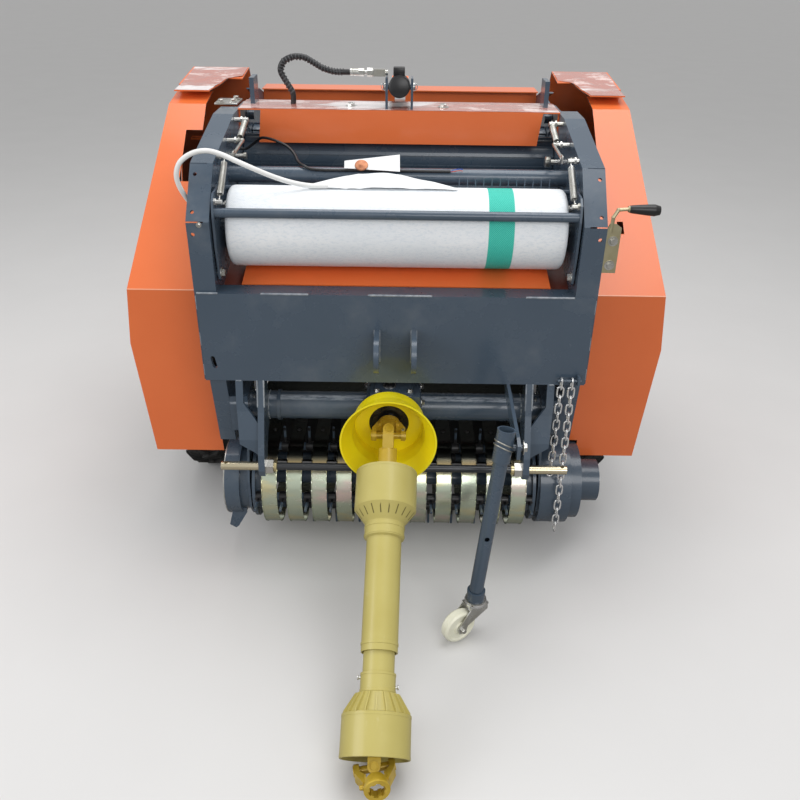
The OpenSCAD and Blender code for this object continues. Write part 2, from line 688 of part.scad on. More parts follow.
module pickup_side(drums) difference() {
  union() {
    plate_x(pickup_pts, side_x, side_t);
    bar_x(side_x + 1, in_half, 260, 368, 30);
    for (d = drums) bar_x(d[0], d[1], reel_y, reel_z, d[2]);
  }
  bar_x(side_x - 1, 405, reel_y, reel_z, reel_shaft_d + 2 * run_gap);
}
// Drums outside each side plate: from, to, diameter
module pickup_side_left() color(blue) place() on_side(-1) {
  pickup_side([[389, 415, 184], [414, 453, 210]]);
  // Deflector under the drum
  translate([0, 76, 0]) rotate([90, 0, 0]) linear_extrude(4) polygon([
    [404, 140], [404, 124], [430, 78], [438, 71], [455, 82], [440, 140]
  ]);
}
module pickup_side_right() color(blue) place() pickup_side([[389, 471, 236], [470, 501, 210],
  [500, 560, 116]]);

// Safety chain: two strands on a pin at the beam, the long one lies against the pickup's right drum
wire_d = 6;
link_l = 36;
link_w = 21;
link_step = link_l - 2 * wire_d - 0.3;
chain_pin = [42, 566];
chain_pin_d = 8;
chain_xs = [408, 434];
module oblong(w, l) {
  square([w, l - w], center = true);
  for (s = [-1, 1]) translate([0, s * (l - w) / 2]) circle(d = w, $fn = 16);
}
// One link at place p, turned from the upright by lean, edge on to the front where k is even
module link(p, lean, k) translate(p) rotate([lean, 0, 0]) rotate([0, 0, k % 2 == 0 ? 90 : 0])
  rotate([90, 0, 0])
  linear_extrude(wire_d, center = true) difference() {
    oblong(link_w, link_l);
    oblong(link_w - 2 * wire_d, link_l - 2 * wire_d);
  }
chain_lean = -3.28;
chain_bend = 15;
function chain_s(k) = link_l / 2 - wire_d - chain_pin_d / 2 - 0.3 + k * link_step;
function chain_at(k) = let (s = chain_s(min(k, chain_bend)))
  [chain_pin[0] + s * sin(chain_lean), chain_pin[1] - s * cos(chain_lean) - max(k - chain_bend,
  0) * link_step];
module safety_chain() color(zinc) place() {
  translate([chain_xs[1] + 12, 32, 553]) cube([6, plate_front - beam_t - 32, 26]);
  bar_x(chain_xs[0] - 16, chain_xs[1] + 13, chain_pin[0], chain_pin[1], chain_pin_d);
  for (k = [0 : 11]) link([chain_xs[0], chain_pin[0], chain_pin[1] - chain_s(k)], 0, k);
  for (k = [0 : 18]) link([chain_xs[1], chain_at(k)[0], chain_at(k)[1]], k > chain_bend ? 0 : chain_lean, k);
}

// Hoses and cables: a round tube swept along a smooth path through hand-chosen points
function spot(p, s) = let (n = len(p) - 1)
  let (i = min(floor(s), n - 1))
  let (t = s - i, a = p[max(i - 1, 0)], b = p[i], c = p[i + 1], d = p[min(i + 2, n)])
  (2 * b + (c - a) * t + (2 * a - 5 * b + 4 * c - d) * t * t + (3 * b - 3 * c + d - a) * t * t * t) / 2;
function swept(q, d, m) = [
  for (i = [0 : len(q) - 1])
    let (t = q[min(i + 1, len(q) - 1)] - q[max(i - 1, 0)])
    let (u = cross(t, [0, 1, 0]))
    let (v = cross(t, u))
    for (j = [0 : m - 1]) q[i] + d / 2 * (cos(j * 360 / m) * u / norm(u) + sin(j * 360 / m) * v / norm(v))
];
module hose(p, d, steps) {
  m = 10;
  q = [for (i = [0 : (len(p) - 1) * steps]) spot(p, i / steps)];
  last = (len(q) - 1) * m;
  polyhedron(swept(q, d, m), concat(
    [[for (j = [0 : m - 1]) j], [for (j = [m - 1 : -1 : 0]) last + j]],
    [for (i = [0 : m : last - m], j = [0 : m - 1]) [i + j, i + m + j, i + m + (j + 1) % m]],
    [for (i = [0 : m : last - m], j = [0 : m - 1]) [i + j, i + m + (j + 1) % m, i + (j + 1) % m]]
  ));
}
white_path = [
  [-428.5, 165, 932], [-446, 165, 932], [-468, 152, 950], [-482, 132, 980], [-490, 114, 1012],
  [-491, 107, 1040],
  [-480, 108, 1066], [-455, 115, 1083], [-425, 123, 1088], [-395, 130, 1080], [-360, 135, 1063],
  [-320, 140, 1044], [-280, 150, 1025], [-240, 160, 1010], [-200, 170, 1001], [-160, 172, 1001]
];
module white_hose() color("white") place() hose(white_path, 11.5, 2);
cable_path = [
  [-419.5, 480, 1014], [-401, 480, 1014], [-376, 471, 1032], [-360, 458, 1045], [-341, 440, 1050],
  [-312, 420, 1047], [-282, 400, 1038], [-262, 375, 1025], [-250, 345, 1014], [-232, 321, 1009],
  [-200, 313, 1002.3], [-90, 313, 1002.3], [20, 313, 1002.3], [130, 313, 1002.3]
];
module black_cable() color(black) place() hose(cable_path, 7, 2);
oil_path = [
  [-284, 575, panel_top + 0.5], [-284, 575, 1140], [-300, 575, 1167], [-314, 575, 1194], [-305, 575, 1217],
  [-279, 575, 1229],
  [-250, 575, 1228], [-226, 573, 1216], [-202, 569, 1203], [-173, 561, 1196], [-147, 552, 1196],
  [-120, 545, 1197]
];
module hydraulic_hose() color(black) place() {
  hose(oil_path, 18, 2);
  // Fittings, seated on the cylinder's bracket
  bar_x(-121, -92, 544.6, 1197, 13);
  bar_x(-93, -76, 544.6, 1197, 18);
  bar_x(-77, -bracket_x, 544.6, 1197, 14);
}

// Castor stand: sleeve on the beam's arm, and a thinner tube down to the castor
stand_top = [252, -165, 553];
stand_foot = [204, -231, 136];
stand_vec = stand_foot - stand_top;
stand_len = norm(stand_vec);
stand_lean = acos(-stand_vec[2] / stand_len);
stand_turn = atan2(stand_vec[1], stand_vec[0]);
sleeve_len = 78;
hole_at = 275;
module along_stand() place() translate(stand_top) rotate([0, 0, stand_turn]) rotate([0, -stand_lean, 0])
  children();
module stand_tube() color(blue) {
  along_stand() difference() {
    union() {
      translate([0, 0, -sleeve_len]) cylinder(d = sleeve_d, h = sleeve_len);
      translate([0, 0, -stand_len]) cylinder(d = stand_d, h = stand_len - 10);
    }
    translate([0, 0, -30]) cylinder(d = sleeve_d - 7, h = 40);
    translate([0, 0, -stand_len + 10]) cylinder(d = stand_d - 6, h = stand_len);
    translate([0, 0, -hole_at]) rotate([0, 0, -stand_turn]) rotate([90, 0, 0])
      cylinder(d = 12, h = 60, center = true);
  }
  place() bar_x(stand_top[0] + 12, arm_x + arm_t + 6, stand_pivot[0], stand_pivot[1], pivot_d);
  place() translate([stand_foot[0], stand_foot[1], race_z + 0.3])
    cylinder(d = 44, h = stand_foot[2] - race_z);
}
castor_trail = 48;
race_z = castor_d + 22;
castor_dir = [-0.85, -0.527];
castor_pos = [stand_foot[0] + castor_dir[0] * castor_trail, stand_foot[1] + castor_dir[1] * castor_trail];
castor_turn = atan2(castor_dir[1], castor_dir[0]);
module castor_fork() color(zinc) place() translate([stand_foot[0], stand_foot[1], 0])
  rotate([0, 0, castor_turn]) {
  plate_z = castor_d + 6;
  axle_at = castor_d / 2;
  translate([0, 0, plate_z + 4]) cylinder(d = 52, h = race_z - plate_z - 4);
  translate([-26, -castor_w / 2 - 5.5, plate_z]) cube([52, castor_w + 11, 5]);
  for (s = [-1, 1]) translate([0, s * (castor_w / 2 + 4) + 1.5, 0]) rotate([90, 0, 0]) linear_extrude(3)
    polygon([
    [-24, plate_z + 4], [24, plate_z + 4], [castor_trail + 13, axle_at + 6], [castor_trail + 9, axle_at - 11],
    [castor_trail - 9, axle_at - 11], [castor_trail - 15, axle_at + 6], [-24, plate_z - 14]
  ]);
  translate([castor_trail, 0, axle_at]) rotate([90, 0, 0]) cylinder(d = 12, h = castor_w + 22, center = true);
}
module castor_wheel() color("ivory") place() translate([castor_pos[0], castor_pos[1], castor_d / 2])
  rotate([0, 0, castor_turn]) rotate([90, 0, 0]) rotate_extrude() polygon([
    [6.05, -castor_w / 2], [16, -castor_w / 2], [18, -castor_w / 2 + 4],
    [castor_d / 2 - 12, -castor_w / 2 + 4],
    [castor_d / 2 - 9, -castor_w / 2 + 1], [castor_d / 2 - 4, -castor_w / 2 + 1],
    [castor_d / 2, -castor_w / 2 + 6],
    [castor_d / 2, castor_w / 2 - 6], [castor_d / 2 - 4, castor_w / 2 - 1],
    [castor_d / 2 - 9, castor_w / 2 - 1],
    [castor_d / 2 - 12, castor_w / 2 - 4], [18, castor_w / 2 - 4], [16, castor_w / 2], [6.05, castor_w / 2]
  ]);

// Tailgate
gate_edge = [
  [chamber_y + 200, plate_top], [985, 1066], [1045, 960], [1058, 680], [1040, 430], [930, 300]
];
gate_front = split_y + split_gap / 2;
module tailgate_plate() {
  difference() {
    union() {
      plate_x(concat([[gate_front, hinge_z]], [[hinge_y + 20, hinge_z + 28]], gate_edge,
        [[gate_front, 300]]), in_half, plate_t);
      bar_x(in_half, out_half, hinge_y, hinge_z, 2 * ear_r);
    }
    bar_x(in_half - 1, out_half + 1, hinge_y, hinge_z, hinge_d + 2 * run_gap);
    for (a = gate_angles)
      bar_x(in_half - 1, out_half + 1, ring_at(a)[0], ring_at(a)[1], journal_d + 2 * run_gap);
  }
  plate_x(strip(gate_edge, 4), out_half - 0.01, 30);
}
module tailgate_plate_left() color(blue) place() on_side(-1) tailgate_plate();
module tailgate_plate_right() color(blue) place() on_side(1) tailgate_plate();
module tailgate_top() color(orange) place() {
  difference() {
    translate([-in_half, 900, 1096]) cube([2 * in_half, 90, sheet_t]);
    translate([-36, 890, 1090]) cube([72, 110, 20]);
  }
  // Square rail under the sheet, with room for the cylinder's eye
  difference() {
    translate([-in_half, 925, 1047]) cube([2 * in_half, 50, 50]);
    translate([-16.5, 920, 1060]) cube([33, 60, 40]);
  }
  for (s = [-1, 1]) difference() {
    union() {
      translate([s > 0 ? 17 : -25, eye_y - 22, 1049]) cube([8, 44, eye_z - 1049]);
      bar_x(s > 0 ? 17 : -25, s > 0 ? 25 : -17, eye_y, eye_z, 44);
    }
    bar_x(-40, 40, eye_y, eye_z, 20);
  }
}

// One fluted roller, hollow, with a journal in each side plate
module roller(angle) place() translate([0, ring_at(angle)[0], ring_at(angle)[1]]) rotate([0, 90, 0]) {
  difference() {
    translate([0, 0, -roller_len / 2]) linear_extrude(roller_len) union() {
      circle(d = roller_d - 8);
      for (i = [0 : flutes - 1]) rotate(i * 360 / flutes) translate([roller_d / 2 - 7, -4]) square([7, 8]);
    }
    cylinder(d = roller_d - 8 - 2 * roller_wall, h = roller_len - 20, center = true);
    for (m = [0, 1]) mirror([0, 0, m]) translate([30, 0, roller_len / 2 - 11]) cylinder(d = 8, h = 12);
  }
  for (m = [0, 1]) mirror([0, 0, m]) translate([0, 0, roller_len / 2 - 10])
    cylinder(d = journal_d, h = 12 + plate_t + journal_out);
}
module front_roller_1() color(blue) roller(front_angles[0]);
module front_roller_2() color(blue) roller(front_angles[1]);
module front_roller_3() color(blue) roller(front_angles[2]);
module front_roller_4() color(blue) roller(front_angles[3]);
module front_roller_5() color(blue) roller(low_front_angle);
module gate_roller_1() color(blue) roller(gate_angles[0]);
module gate_roller_2() color(blue) roller(gate_angles[1]);
module gate_roller_3() color(blue) roller(gate_angles[2]);
module gate_roller_4() color(blue) roller(gate_angles[3]);
module gate_roller_5() color(blue) roller(gate_angles[4]);
module gate_roller_6() color(blue) roller(gate_angles[5]);
module gate_roller_7() color(blue) roller(gate_angles[6]);

side_plate_left();
side_plate_right();
front_beam();
hitch_bracket_left();
hitch_bracket_right();
lower_link_shaft();
drive_tube();
gearbox();
pto_guard_cone();
axle();
front_cover_left();
front_cover_right();
top_panel();
net_shelf();
net_bar();
feed_bar();
tension_arms();
cylinder_bracket();
stripper_bands();
pickup_side_left();
pickup_side_right();
net_lever();
safety_chain();
white_hose();
black_cable();
hydraulic_hose();
tailgate_plate_left();
tailgate_plate_right();
tailgate_top();
rear_cover_left();
rear_cover_right();
cylinder_barrel();
cylinder_rod();
pickup_reel();
net_roll();
tyre_left();
rim_left();
tyre_right();
rim_right();
stand_tube();
castor_fork();
castor_wheel();
pto_input_yoke();
pto_cross();
pto_outer();
pto_inner();
pto_end_cross();
pto_end_yoke();
front_roller_1();
front_roller_2();
front_roller_3();
front_roller_4();
front_roller_5();
gate_roller_1();
gate_roller_2();
gate_roller_3();
gate_roller_4();
gate_roller_5();
gate_roller_6();
gate_roller_7();
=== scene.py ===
"""Small three-point-hitch round baler with net wrap: its looks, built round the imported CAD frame.

The row frame is in metres, with +X to the right, +Y to the rear and the floor at z = 0. Places are
written in millimetres, with y counted from the lower link pins, and at() turns them into the row frame.
"""

import math

import bmesh
import bpy
from mathutils import Matrix, Vector, noise


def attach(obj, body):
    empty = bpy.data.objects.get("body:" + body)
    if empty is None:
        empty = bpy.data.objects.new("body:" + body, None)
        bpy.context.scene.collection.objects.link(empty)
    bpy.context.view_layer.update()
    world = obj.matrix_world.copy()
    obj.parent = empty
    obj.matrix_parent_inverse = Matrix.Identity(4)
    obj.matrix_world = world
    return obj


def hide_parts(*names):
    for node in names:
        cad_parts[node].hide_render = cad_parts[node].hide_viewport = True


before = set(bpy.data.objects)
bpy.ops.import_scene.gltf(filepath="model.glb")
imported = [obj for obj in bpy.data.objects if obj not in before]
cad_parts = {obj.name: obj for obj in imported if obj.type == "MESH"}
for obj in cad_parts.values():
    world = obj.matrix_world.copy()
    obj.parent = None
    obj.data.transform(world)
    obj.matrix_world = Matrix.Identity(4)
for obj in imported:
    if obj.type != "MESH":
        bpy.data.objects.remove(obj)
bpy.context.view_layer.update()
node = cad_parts


def at(x, y, z):
    return Vector((x, y - 170.6, z)) / 1000


# Camera. The photo is taken by a standing person just ahead of the drive shaft, looking down at
# the hitch.
camera = bpy.data.objects.new("camera", bpy.data.cameras.new("camera"))
bpy.context.scene.collection.objects.link(camera)
camera.data.lens = 36
camera.data.sensor_width = 36
camera.data.clip_start = 0.01
camera.matrix_world = (
    Matrix.Translation(at(13, -1680, 1500))
    @ Matrix.Rotation(math.radians(60), 4, "X")
    @ Matrix.Rotation(math.radians(0.8), 4, "Z")
)
bpy.context.scene.camera = camera
bpy.context.scene.view_settings.view_transform = "Standard"


class Wire:
    """One socket of a material's nodes; sums and products with it add Math nodes."""

    def __init__(self, tree, socket=None):
        self.tree = tree
        self.socket = socket

    def make(self, kind, settings, values, out=0):
        made = self.tree.nodes.new(kind)
        for name, value in settings.items():
            setattr(made, name, value)
        for name, value in values.items():
            if isinstance(value, Wire):
                self.tree.links.new(value.socket, made.inputs[name])
            else:
                made.inputs[name].default_value = value
        return Wire(self.tree, made.outputs[out])

    def maths(self, operation, a, b=0.0):
        return self.make("ShaderNodeMath", {"operation": operation}, {0: a, 1: b})

    def __add__(self, other):
        return self.maths("ADD", self, other)

    def __radd__(self, other):
        return self.maths("ADD", other, self)

    def __sub__(self, other):
        return self.maths("SUBTRACT", self, other)

    def __rsub__(self, other):
        return self.maths("SUBTRACT", other, self)

    def __mul__(self, other):
        return self.maths("MULTIPLY", self, other)

    def __rmul__(self, other):
        return self.maths("MULTIPLY", other, self)

    def place(self):
        return self.make("ShaderNodeTexCoord", {}, {}, "Object")

    def axis(self, letter):
        return self.make("ShaderNodeSeparateXYZ", {}, {0: self.place()}, letter)

    def noise(self, scale, detail=3.0, roughness=0.55, stretch=(1, 1, 1)):
        where = self.make("ShaderNodeMapping", {}, {"Vector": self.place(), "Scale": stretch})
        return self.make(
            "ShaderNodeTexNoise", {},
            {"Vector": where, "Scale": scale, "Detail": detail, "Roughness": roughness}, "Fac")

    def mix(self, factor, a, b):
        values = {0: factor}
        for place, colour in ((6, a), (7, b)):
            values[place] = colour if isinstance(colour, Wire) else (*colour, 1)
        return self.make("ShaderNodeMix", {"data_type": "RGBA"}, values, 2)

    def band(self, low, high):
        """0 below low, 1 above high, smooth between them."""
        return self.make(
            "ShaderNodeMapRange", {"interpolation_type": "SMOOTHSTEP"},
            {"Value": self, "From Min": low, "From Max": high, "To Min": 0.0, "To Max": 1.0})

    def bump(self, strength, distance=0.001):
        return self.make("ShaderNodeBump", {}, {"Strength": strength, "Distance": distance, "Height": self})


def finish_of(name, fixed, build):
    """A material: fixed values go on the shader, and build wires what varies over the surface."""
    made = bpy.data.materials.new(name)
    made.use_nodes = True
    tree = made.node_tree
    shader = tree.nodes["Principled BSDF"]
    for key, value in fixed.items():
        shader.inputs[key].default_value = value
    for key, wire in build(Wire(tree)).items():
        tree.links.new(wire.socket, shader.inputs[key])
    return made


def cloudy(name, dark, light, rough, scale=14.0, fixed=None, grain=0.0):
    """An even finish with slow changes of tone and gloss, and a fine grain."""
    def build(w):
        haze = w.noise(scale, 5.0)
        out = {"Base Color": w.mix(haze.band(0.3, 0.7), dark, light),
               "Roughness": haze * 0.16 + (rough - 0.08)}
        if grain:
            out["Normal"] = w.noise(420.0, 2.0).bump(grain)
        return out
    return finish_of(name, fixed or {}, build)


def show(made, look, body):
    made.data.materials.append(look)
    bpy.context.scene.collection.objects.link(made)
    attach(made, body)
    return made


def tube(name, lines, thick, look, body, closed=False, fine=4, round_steps=3):
    """A round wire or hose, thick mm across, along a smooth line through each list of points."""
    data = bpy.data.curves.new(name, "CURVE")
    data.dimensions = "3D"
    data.bevel_depth = thick / 2000
    data.bevel_resolution = round_steps
    data.resolution_u = fine
    data.use_fill_caps = not closed
    for line in lines:
        spline = data.splines.new("BEZIER")
        spline.bezier_points.add(len(line) - 1)
        spline.use_cyclic_u = closed
        last = len(line) - 1
        for i, knot in enumerate(spline.bezier_points):
            before = line[i - 1] if closed else line[max(i - 1, 0)]
            after = line[(i + 1) % len(line)] if closed else line[min(i + 1, last)]
            knot.co = line[i]
            knot.handle_left = line[i] - (after - before) / 6
            knot.handle_right = line[i] + (after - before) / 6
    return show(bpy.data.objects.new(name, data), look, body)


def winding(line, radius, turns, per_turn, side):
    """Points of a helix round a straight or curved line, both in metres."""
    points = []
    for i in range(turns * per_turn + 1):
        s = i / (turns * per_turn) * (len(line) - 1)
        k = min(int(s), len(line) - 2)
        ahead = (line[k + 1] - line[k]).normalized()
        u = ahead.cross(Vector(side)).normalized()
        angle = i / per_turn * 2 * math.pi
        out = math.cos(angle) * u + math.sin(angle) * ahead.cross(u)
        points.append(line[k].lerp(line[k + 1], s - k) + radius * out)
    return points


# White air hose: soft plastic, from its clip on the left side plate over the flange and down
# onto the net roll, where its end lies loose.
white_path = [at(*p) for p in (
    (-428.5, 165, 932), (-446, 165, 932), (-468, 152, 950), (-482, 132, 980), (-490, 114, 1012),
    (-491, 107, 1040),
    (-480, 108, 1066), (-455, 115, 1083), (-425, 123, 1088), (-395, 130, 1080), (-360, 135, 1063),
    (-320, 140, 1044), (-280, 150, 1025), (-240, 160, 1010), (-200, 170, 1001), (-160, 172, 1001))]
hose_white = cloudy("hose_white", (0.78, 0.78, 0.76), (0.88, 0.88, 0.87), 0.42)
white_hose = tube("white_air_hose", [white_path], 11.5, hose_white, "frame", round_steps=5)
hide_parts("white_hose")

# Black sensor cable: comes from behind the springs on the left and lies along the feed bar, with two
# thin cores bared at its end.
cable_path = [at(*p) for p in (
    (-419.5, 480, 1014), (-401, 480, 1014), (-376, 471, 1032), (-360, 458, 1045), (-341, 440, 1050),
    (-312, 420, 1047), (-282, 400, 1038), (-262, 375, 1025), (-250, 345, 1014), (-232, 321, 1009),
    (-200, 313, 1002.3), (-90, 313, 1002.3), (20, 313, 1002.3), (130, 313, 1002.3))]
black_vinyl = cloudy("black_vinyl", (0.008, 0.008, 0.009), (0.02, 0.02, 0.022), 0.34)
black_cable = tube("sensor_cable", [cable_path], 7, black_vinyl, "frame", round_steps=4)
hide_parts("black_cable")
for shade, rise, name in (((0.02, 0.06, 0.4), 3, "blue"), ((0.5, 0.03, 0.02), -1, "red")):
    tube("cable_core_" + name,
                      [[at(128, 313, 1002), at(138, 311, 1004 + rise), at(150, 308, 1007 + rise),
                                              at(160, 309, 1006 + rise)]], 1.6,
                      cloudy("core_" + name, shade, tuple(1.5 * c for c in shade), 0.4), "frame")

# Hydraulic hose of the lift cylinder: rubber in a wound plastic guard, bent over from the top
# panel into a pressed fitting and a port block on the cylinder's bracket.
oil_path = [at(*p) for p in (
    (-284, 575, 1111.5), (-284, 575, 1140), (-300, 575, 1167), (-314, 575, 1194), (-305, 575, 1217),
    (-279, 575, 1229),
    (-250, 575, 1228), (-226, 573, 1216), (-202, 569, 1203), (-173, 561, 1196), (-147, 552, 1196),
    (-120, 545, 1197))]
oil_hose = tube("lift_hose", [oil_path], 14.5, black_vinyl, "frame", round_steps=4)
guard = cloudy("hose_guard", (0.03, 0.031, 0.034), (0.08, 0.082, 0.088), 0.45)
wrap = tube("lift_hose_guard", [winding(oil_path[1:-1], 0.0073, 30, 8, (0, 1, 0))], 3.4, guard, "frame",
            fine=2, round_steps=1)


def lathe(shape, profile, base, axis, steps=32):
    """Spin a profile of radius and distance in mm round an axis through base."""
    known = set(shape.verts)
    start = [shape.verts.new((r / 1000, 0, s / 1000)) for r, s in profile]
    edges = [shape.edges.new(pair) for pair in zip(start, start[1:])]
    bmesh.ops.spin(shape, geom=start + edges, cent=(0, 0, 0), axis=(0, 0, 1), angle=2 * math.pi, steps=steps,
                   use_merge=True)
    turn = Vector(axis).to_track_quat("Z", "Y").to_matrix().to_4x4()
    bmesh.ops.transform(shape, matrix=Matrix.Translation(base) @ turn,
                        verts=[v for v in shape.verts if v not in known])


def solid(name, shape, look, body, angle=32):
    """Turn a bmesh into a finished piece, with edges sharper than angle left crisp."""
    bmesh.ops.remove_doubles(shape, verts=shape.verts, dist=1e-6)
    bmesh.ops.recalc_face_normals(shape, faces=shape.faces)
    for face in shape.faces:
        face.smooth = True
    for edge in shape.edges:
        edge.smooth = edge.is_manifold and edge.calc_face_angle(0) < math.radians(angle)
    mesh = bpy.data.meshes.new(name)
    shape.to_mesh(mesh)
    shape.free()
    return show(bpy.data.objects.new(name, mesh), look, body)


def hexagon(shape, place, normal, across=13.0, high=6.0, washer=True):
    """A hexagon bolt head or nut with its chamfer and washer."""
    turn = Vector(normal).to_track_quat("Z", "Y").to_matrix().to_4x4()
    layers = [(6, across * 0.577, across * 0.577, 0, high * 0.82),
              (6, across * 0.577, across * 0.5, high * 0.82, high)]
    if washer:
        flat = 1.6
        layers = [(n, a, b, s + flat, e + flat) for n, a, b, s, e in layers]
        layers.insert(0, (18, across * 0.9, across * 0.9, 0, flat))
    for sides, r1, r2, low, top in layers:
        bmesh.ops.create_cone(
            shape, cap_ends=True, segments=sides, radius1=r1 / 1000, radius2=r2 / 1000,
            depth=(top - low) / 1000,
            matrix=Matrix.Translation(place) @ turn @ Matrix.Translation((0, 0, (low + top) / 2000)))


def zinc_coat(w):
    bloom = w.noise(26.0, 5.0)
    grain = w.noise(300.0, 3.0)
    colour = w.mix(bloom.band(0.35, 0.7), (0.62, 0.62, 0.6), (0.44, 0.43, 0.38))
    return {"Base Color": colour, "Roughness": bloom * 0.25 + grain * 0.12 + 0.12, "Normal": grain.bump(0.06)}


zinc = finish_of("zinc_plate", {"Metallic": 0.92}, zinc_coat)
shape = bmesh.new()
lathe(shape, [(0, 0), (9.5, 0), (9.5, 6), (8.2, 7), (9.2, 8), (9.2, 22), (0, 22)], at(-128, 545.2, 1197),
      (1, 0, 0), 20)
hexagon(shape, at(-106, 544.8, 1197), (1, 0, 0), 17, 15, False)
lathe(shape, [(0, 0), (5.5, 0), (5.5, 10), (0, 10)], at(-92, 544.6, 1197), (1, 0, 0), 16)
hexagon(shape, at(-84, 544.6, 1197), (1, 0, 0), 19, 16, False)
port = Matrix.Translation(at(-52, 546, 1197)) @ Matrix.Diagonal((0.03, 0.024, 0.017, 1))
bmesh.ops.create_cube(shape, size=1, matrix=port)
lathe(shape, [(0, 0), (7, 0), (7, 8), (0, 8)], at(-38, 544.6, 1197), (1, 0, 0), 16)
fittings = solid("lift_hose_fittings", shape, zinc, "frame")
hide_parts("hydraulic_hose")


# Studio: a plain pale floor, a pale surround and three soft lights at a plain level.
def floor_look(w):
    seen = w.make("ShaderNodeLightPath", {}, {}, "Is Camera Ray")
    return {"Base Color": w.mix(seen, (0.3, 0.29, 0.28),
                                w.mix(w.noise(3.0), (0.66, 0.655, 0.65), (0.7, 0.695, 0.69)))}


shape = bmesh.new()
bmesh.ops.create_grid(shape, x_segments=1, y_segments=1, size=30)
floor_mesh = bpy.data.meshes.new("floor")
shape.to_mesh(floor_mesh)
shape.free()
floor = bpy.data.objects.new("floor", floor_mesh)
bpy.context.scene.collection.objects.link(floor)
floor_mesh.materials.append(finish_of("floor", {"Roughness": 0.6}, floor_look))

world = bpy.data.worlds.new("studio")
bpy.context.scene.world = world
world.use_nodes = True
sky = Wire(world.node_tree)
background = world.node_tree.nodes["Background"]
background.inputs["Color"].default_value = (1, 1, 1, 1)
strength = sky.make("ShaderNodeLightPath", {}, {}, "Is Camera Ray") * 0.45 + 0.55
world.node_tree.links.new(strength.socket, background.inputs["Strength"])
for name, place, aim, size, power in (
    ("roof_light", (0.4, 0.6, 3.6), (0, 0, 0.6), (3.2, 2.2), 70),
    ("left_light", (-3.2, -1.6, 2.2), (0, 0, 0.7), (2.0, 2.0), 45),
    ("front_light", (1.2, -3.6, 2.6), (0, 0, 0.5), (2.6, 1.6), 45),
):
    light = bpy.data.lights.new(name, "AREA")
    light.shape = "RECTANGLE"
    light.size, light.size_y = size
    light.energy = power
    holder = bpy.data.objects.new(name, light)
    bpy.context.scene.collection.objects.link(holder)
    holder.location = place
    holder.rotation_mode = "QUATERNION"
    holder.rotation_quaternion = (Vector(aim) - Vector(place)).to_track_quat("-Z", "Y")


# Frame, rollers, tailgate plates, rims: folded and welded steel, sprayed blue-grey in one coat over
# everything, so the paint shows orange peel, a little workshop dust and dry overspray.
def dress(names, look):
    for name in names.split():
        node[name].data.materials.clear()
        node[name].data.materials.append(look)


def blue_paint(w):
    haze = w.noise(7.0, 5.0)
    streak = w.noise(34.0, 4.0, 0.7)
    speck = w.noise(260.0, 2.0).band(0.66, 0.74)
    dust_and_glint = (haze * 0.7 + streak * 0.3).band(0.5, 0.72)
    colour = w.mix(haze, (0.05, 0.075, 0.108), (0.068, 0.098, 0.136))
    colour = w.mix(dust_and_glint * 0.22 + speck * 0.12, colour, (0.2, 0.21, 0.22))
    peel = (w.noise(150.0, 2.0) + streak * 0.6).bump(0.1)
    return {"Base Color": colour, "Roughness": haze * 0.14 + dust_and_glint * 0.2 + 0.2, "Normal": peel}


blue = finish_of("frame_blue_paint", {"Coat Weight": 0.35, "Coat Roughness": 0.1}, blue_paint)
dress("side_plate_left side_plate_right front_beam hitch_bracket_left hitch_bracket_right drive_tube axle "
      "net_bar feed_bar cylinder_bracket pickup_side_left pickup_side_right tailgate_plate_left "
      "tailgate_plate_right pickup_reel rim_left rim_right stand_tube", blue)
dress(" ".join(["front_roller_%d" % i for i in range(1, 6)] + ["gate_roller_%d" % i for i in range(1, 8)]),
      blue)


def block(shape, low, high, soft=1.0):
    """A box between two corners in mm, with softened edges."""
    size = [(b - a) / 1000 for a, b in zip(low, high)]
    middle = at(*[(a + b) / 2 for a, b in zip(low, high)])
    made = bmesh.ops.create_cube(shape, size=1,
                                 matrix=Matrix.Translation(middle) @ Matrix.Diagonal((*size, 1)))
    edges = list({edge for vert in made["verts"] for edge in vert.link_edges})
    bmesh.ops.bevel(shape, geom=edges, offset=soft / 1000, offset_type="OFFSET", segments=2, profile=0.5,
                    affect="EDGES", material=-1)


def rod(shape, a, b, thick, steps=12):
    length = (b - a).length * 1000
    lathe(shape, [(0, 0), (thick / 2 - 0.6, 0), (thick / 2, 0.6), (thick / 2, length - 0.6),
                  (thick / 2 - 0.6, length), (0, length)], a, b - a, steps)


def weld(shape, a, b, thick=5.0):
    """A weld bead: a thin rope of overlapping ripples, half sunk in the joint."""
    length = (b - a).length * 1000
    count = max(3, int(length / 3.2))
    profile = [(0, 0)]
    for i in range(count * 2 + 1):
        swell = 1.0 if i % 2 else 0.8
        profile.append((thick / 2 * swell * (0.7 if i in (0, count * 2) else 1), length * i / (2 * count)))
    lathe(shape, profile + [(0, length)], a, b - a, 8)


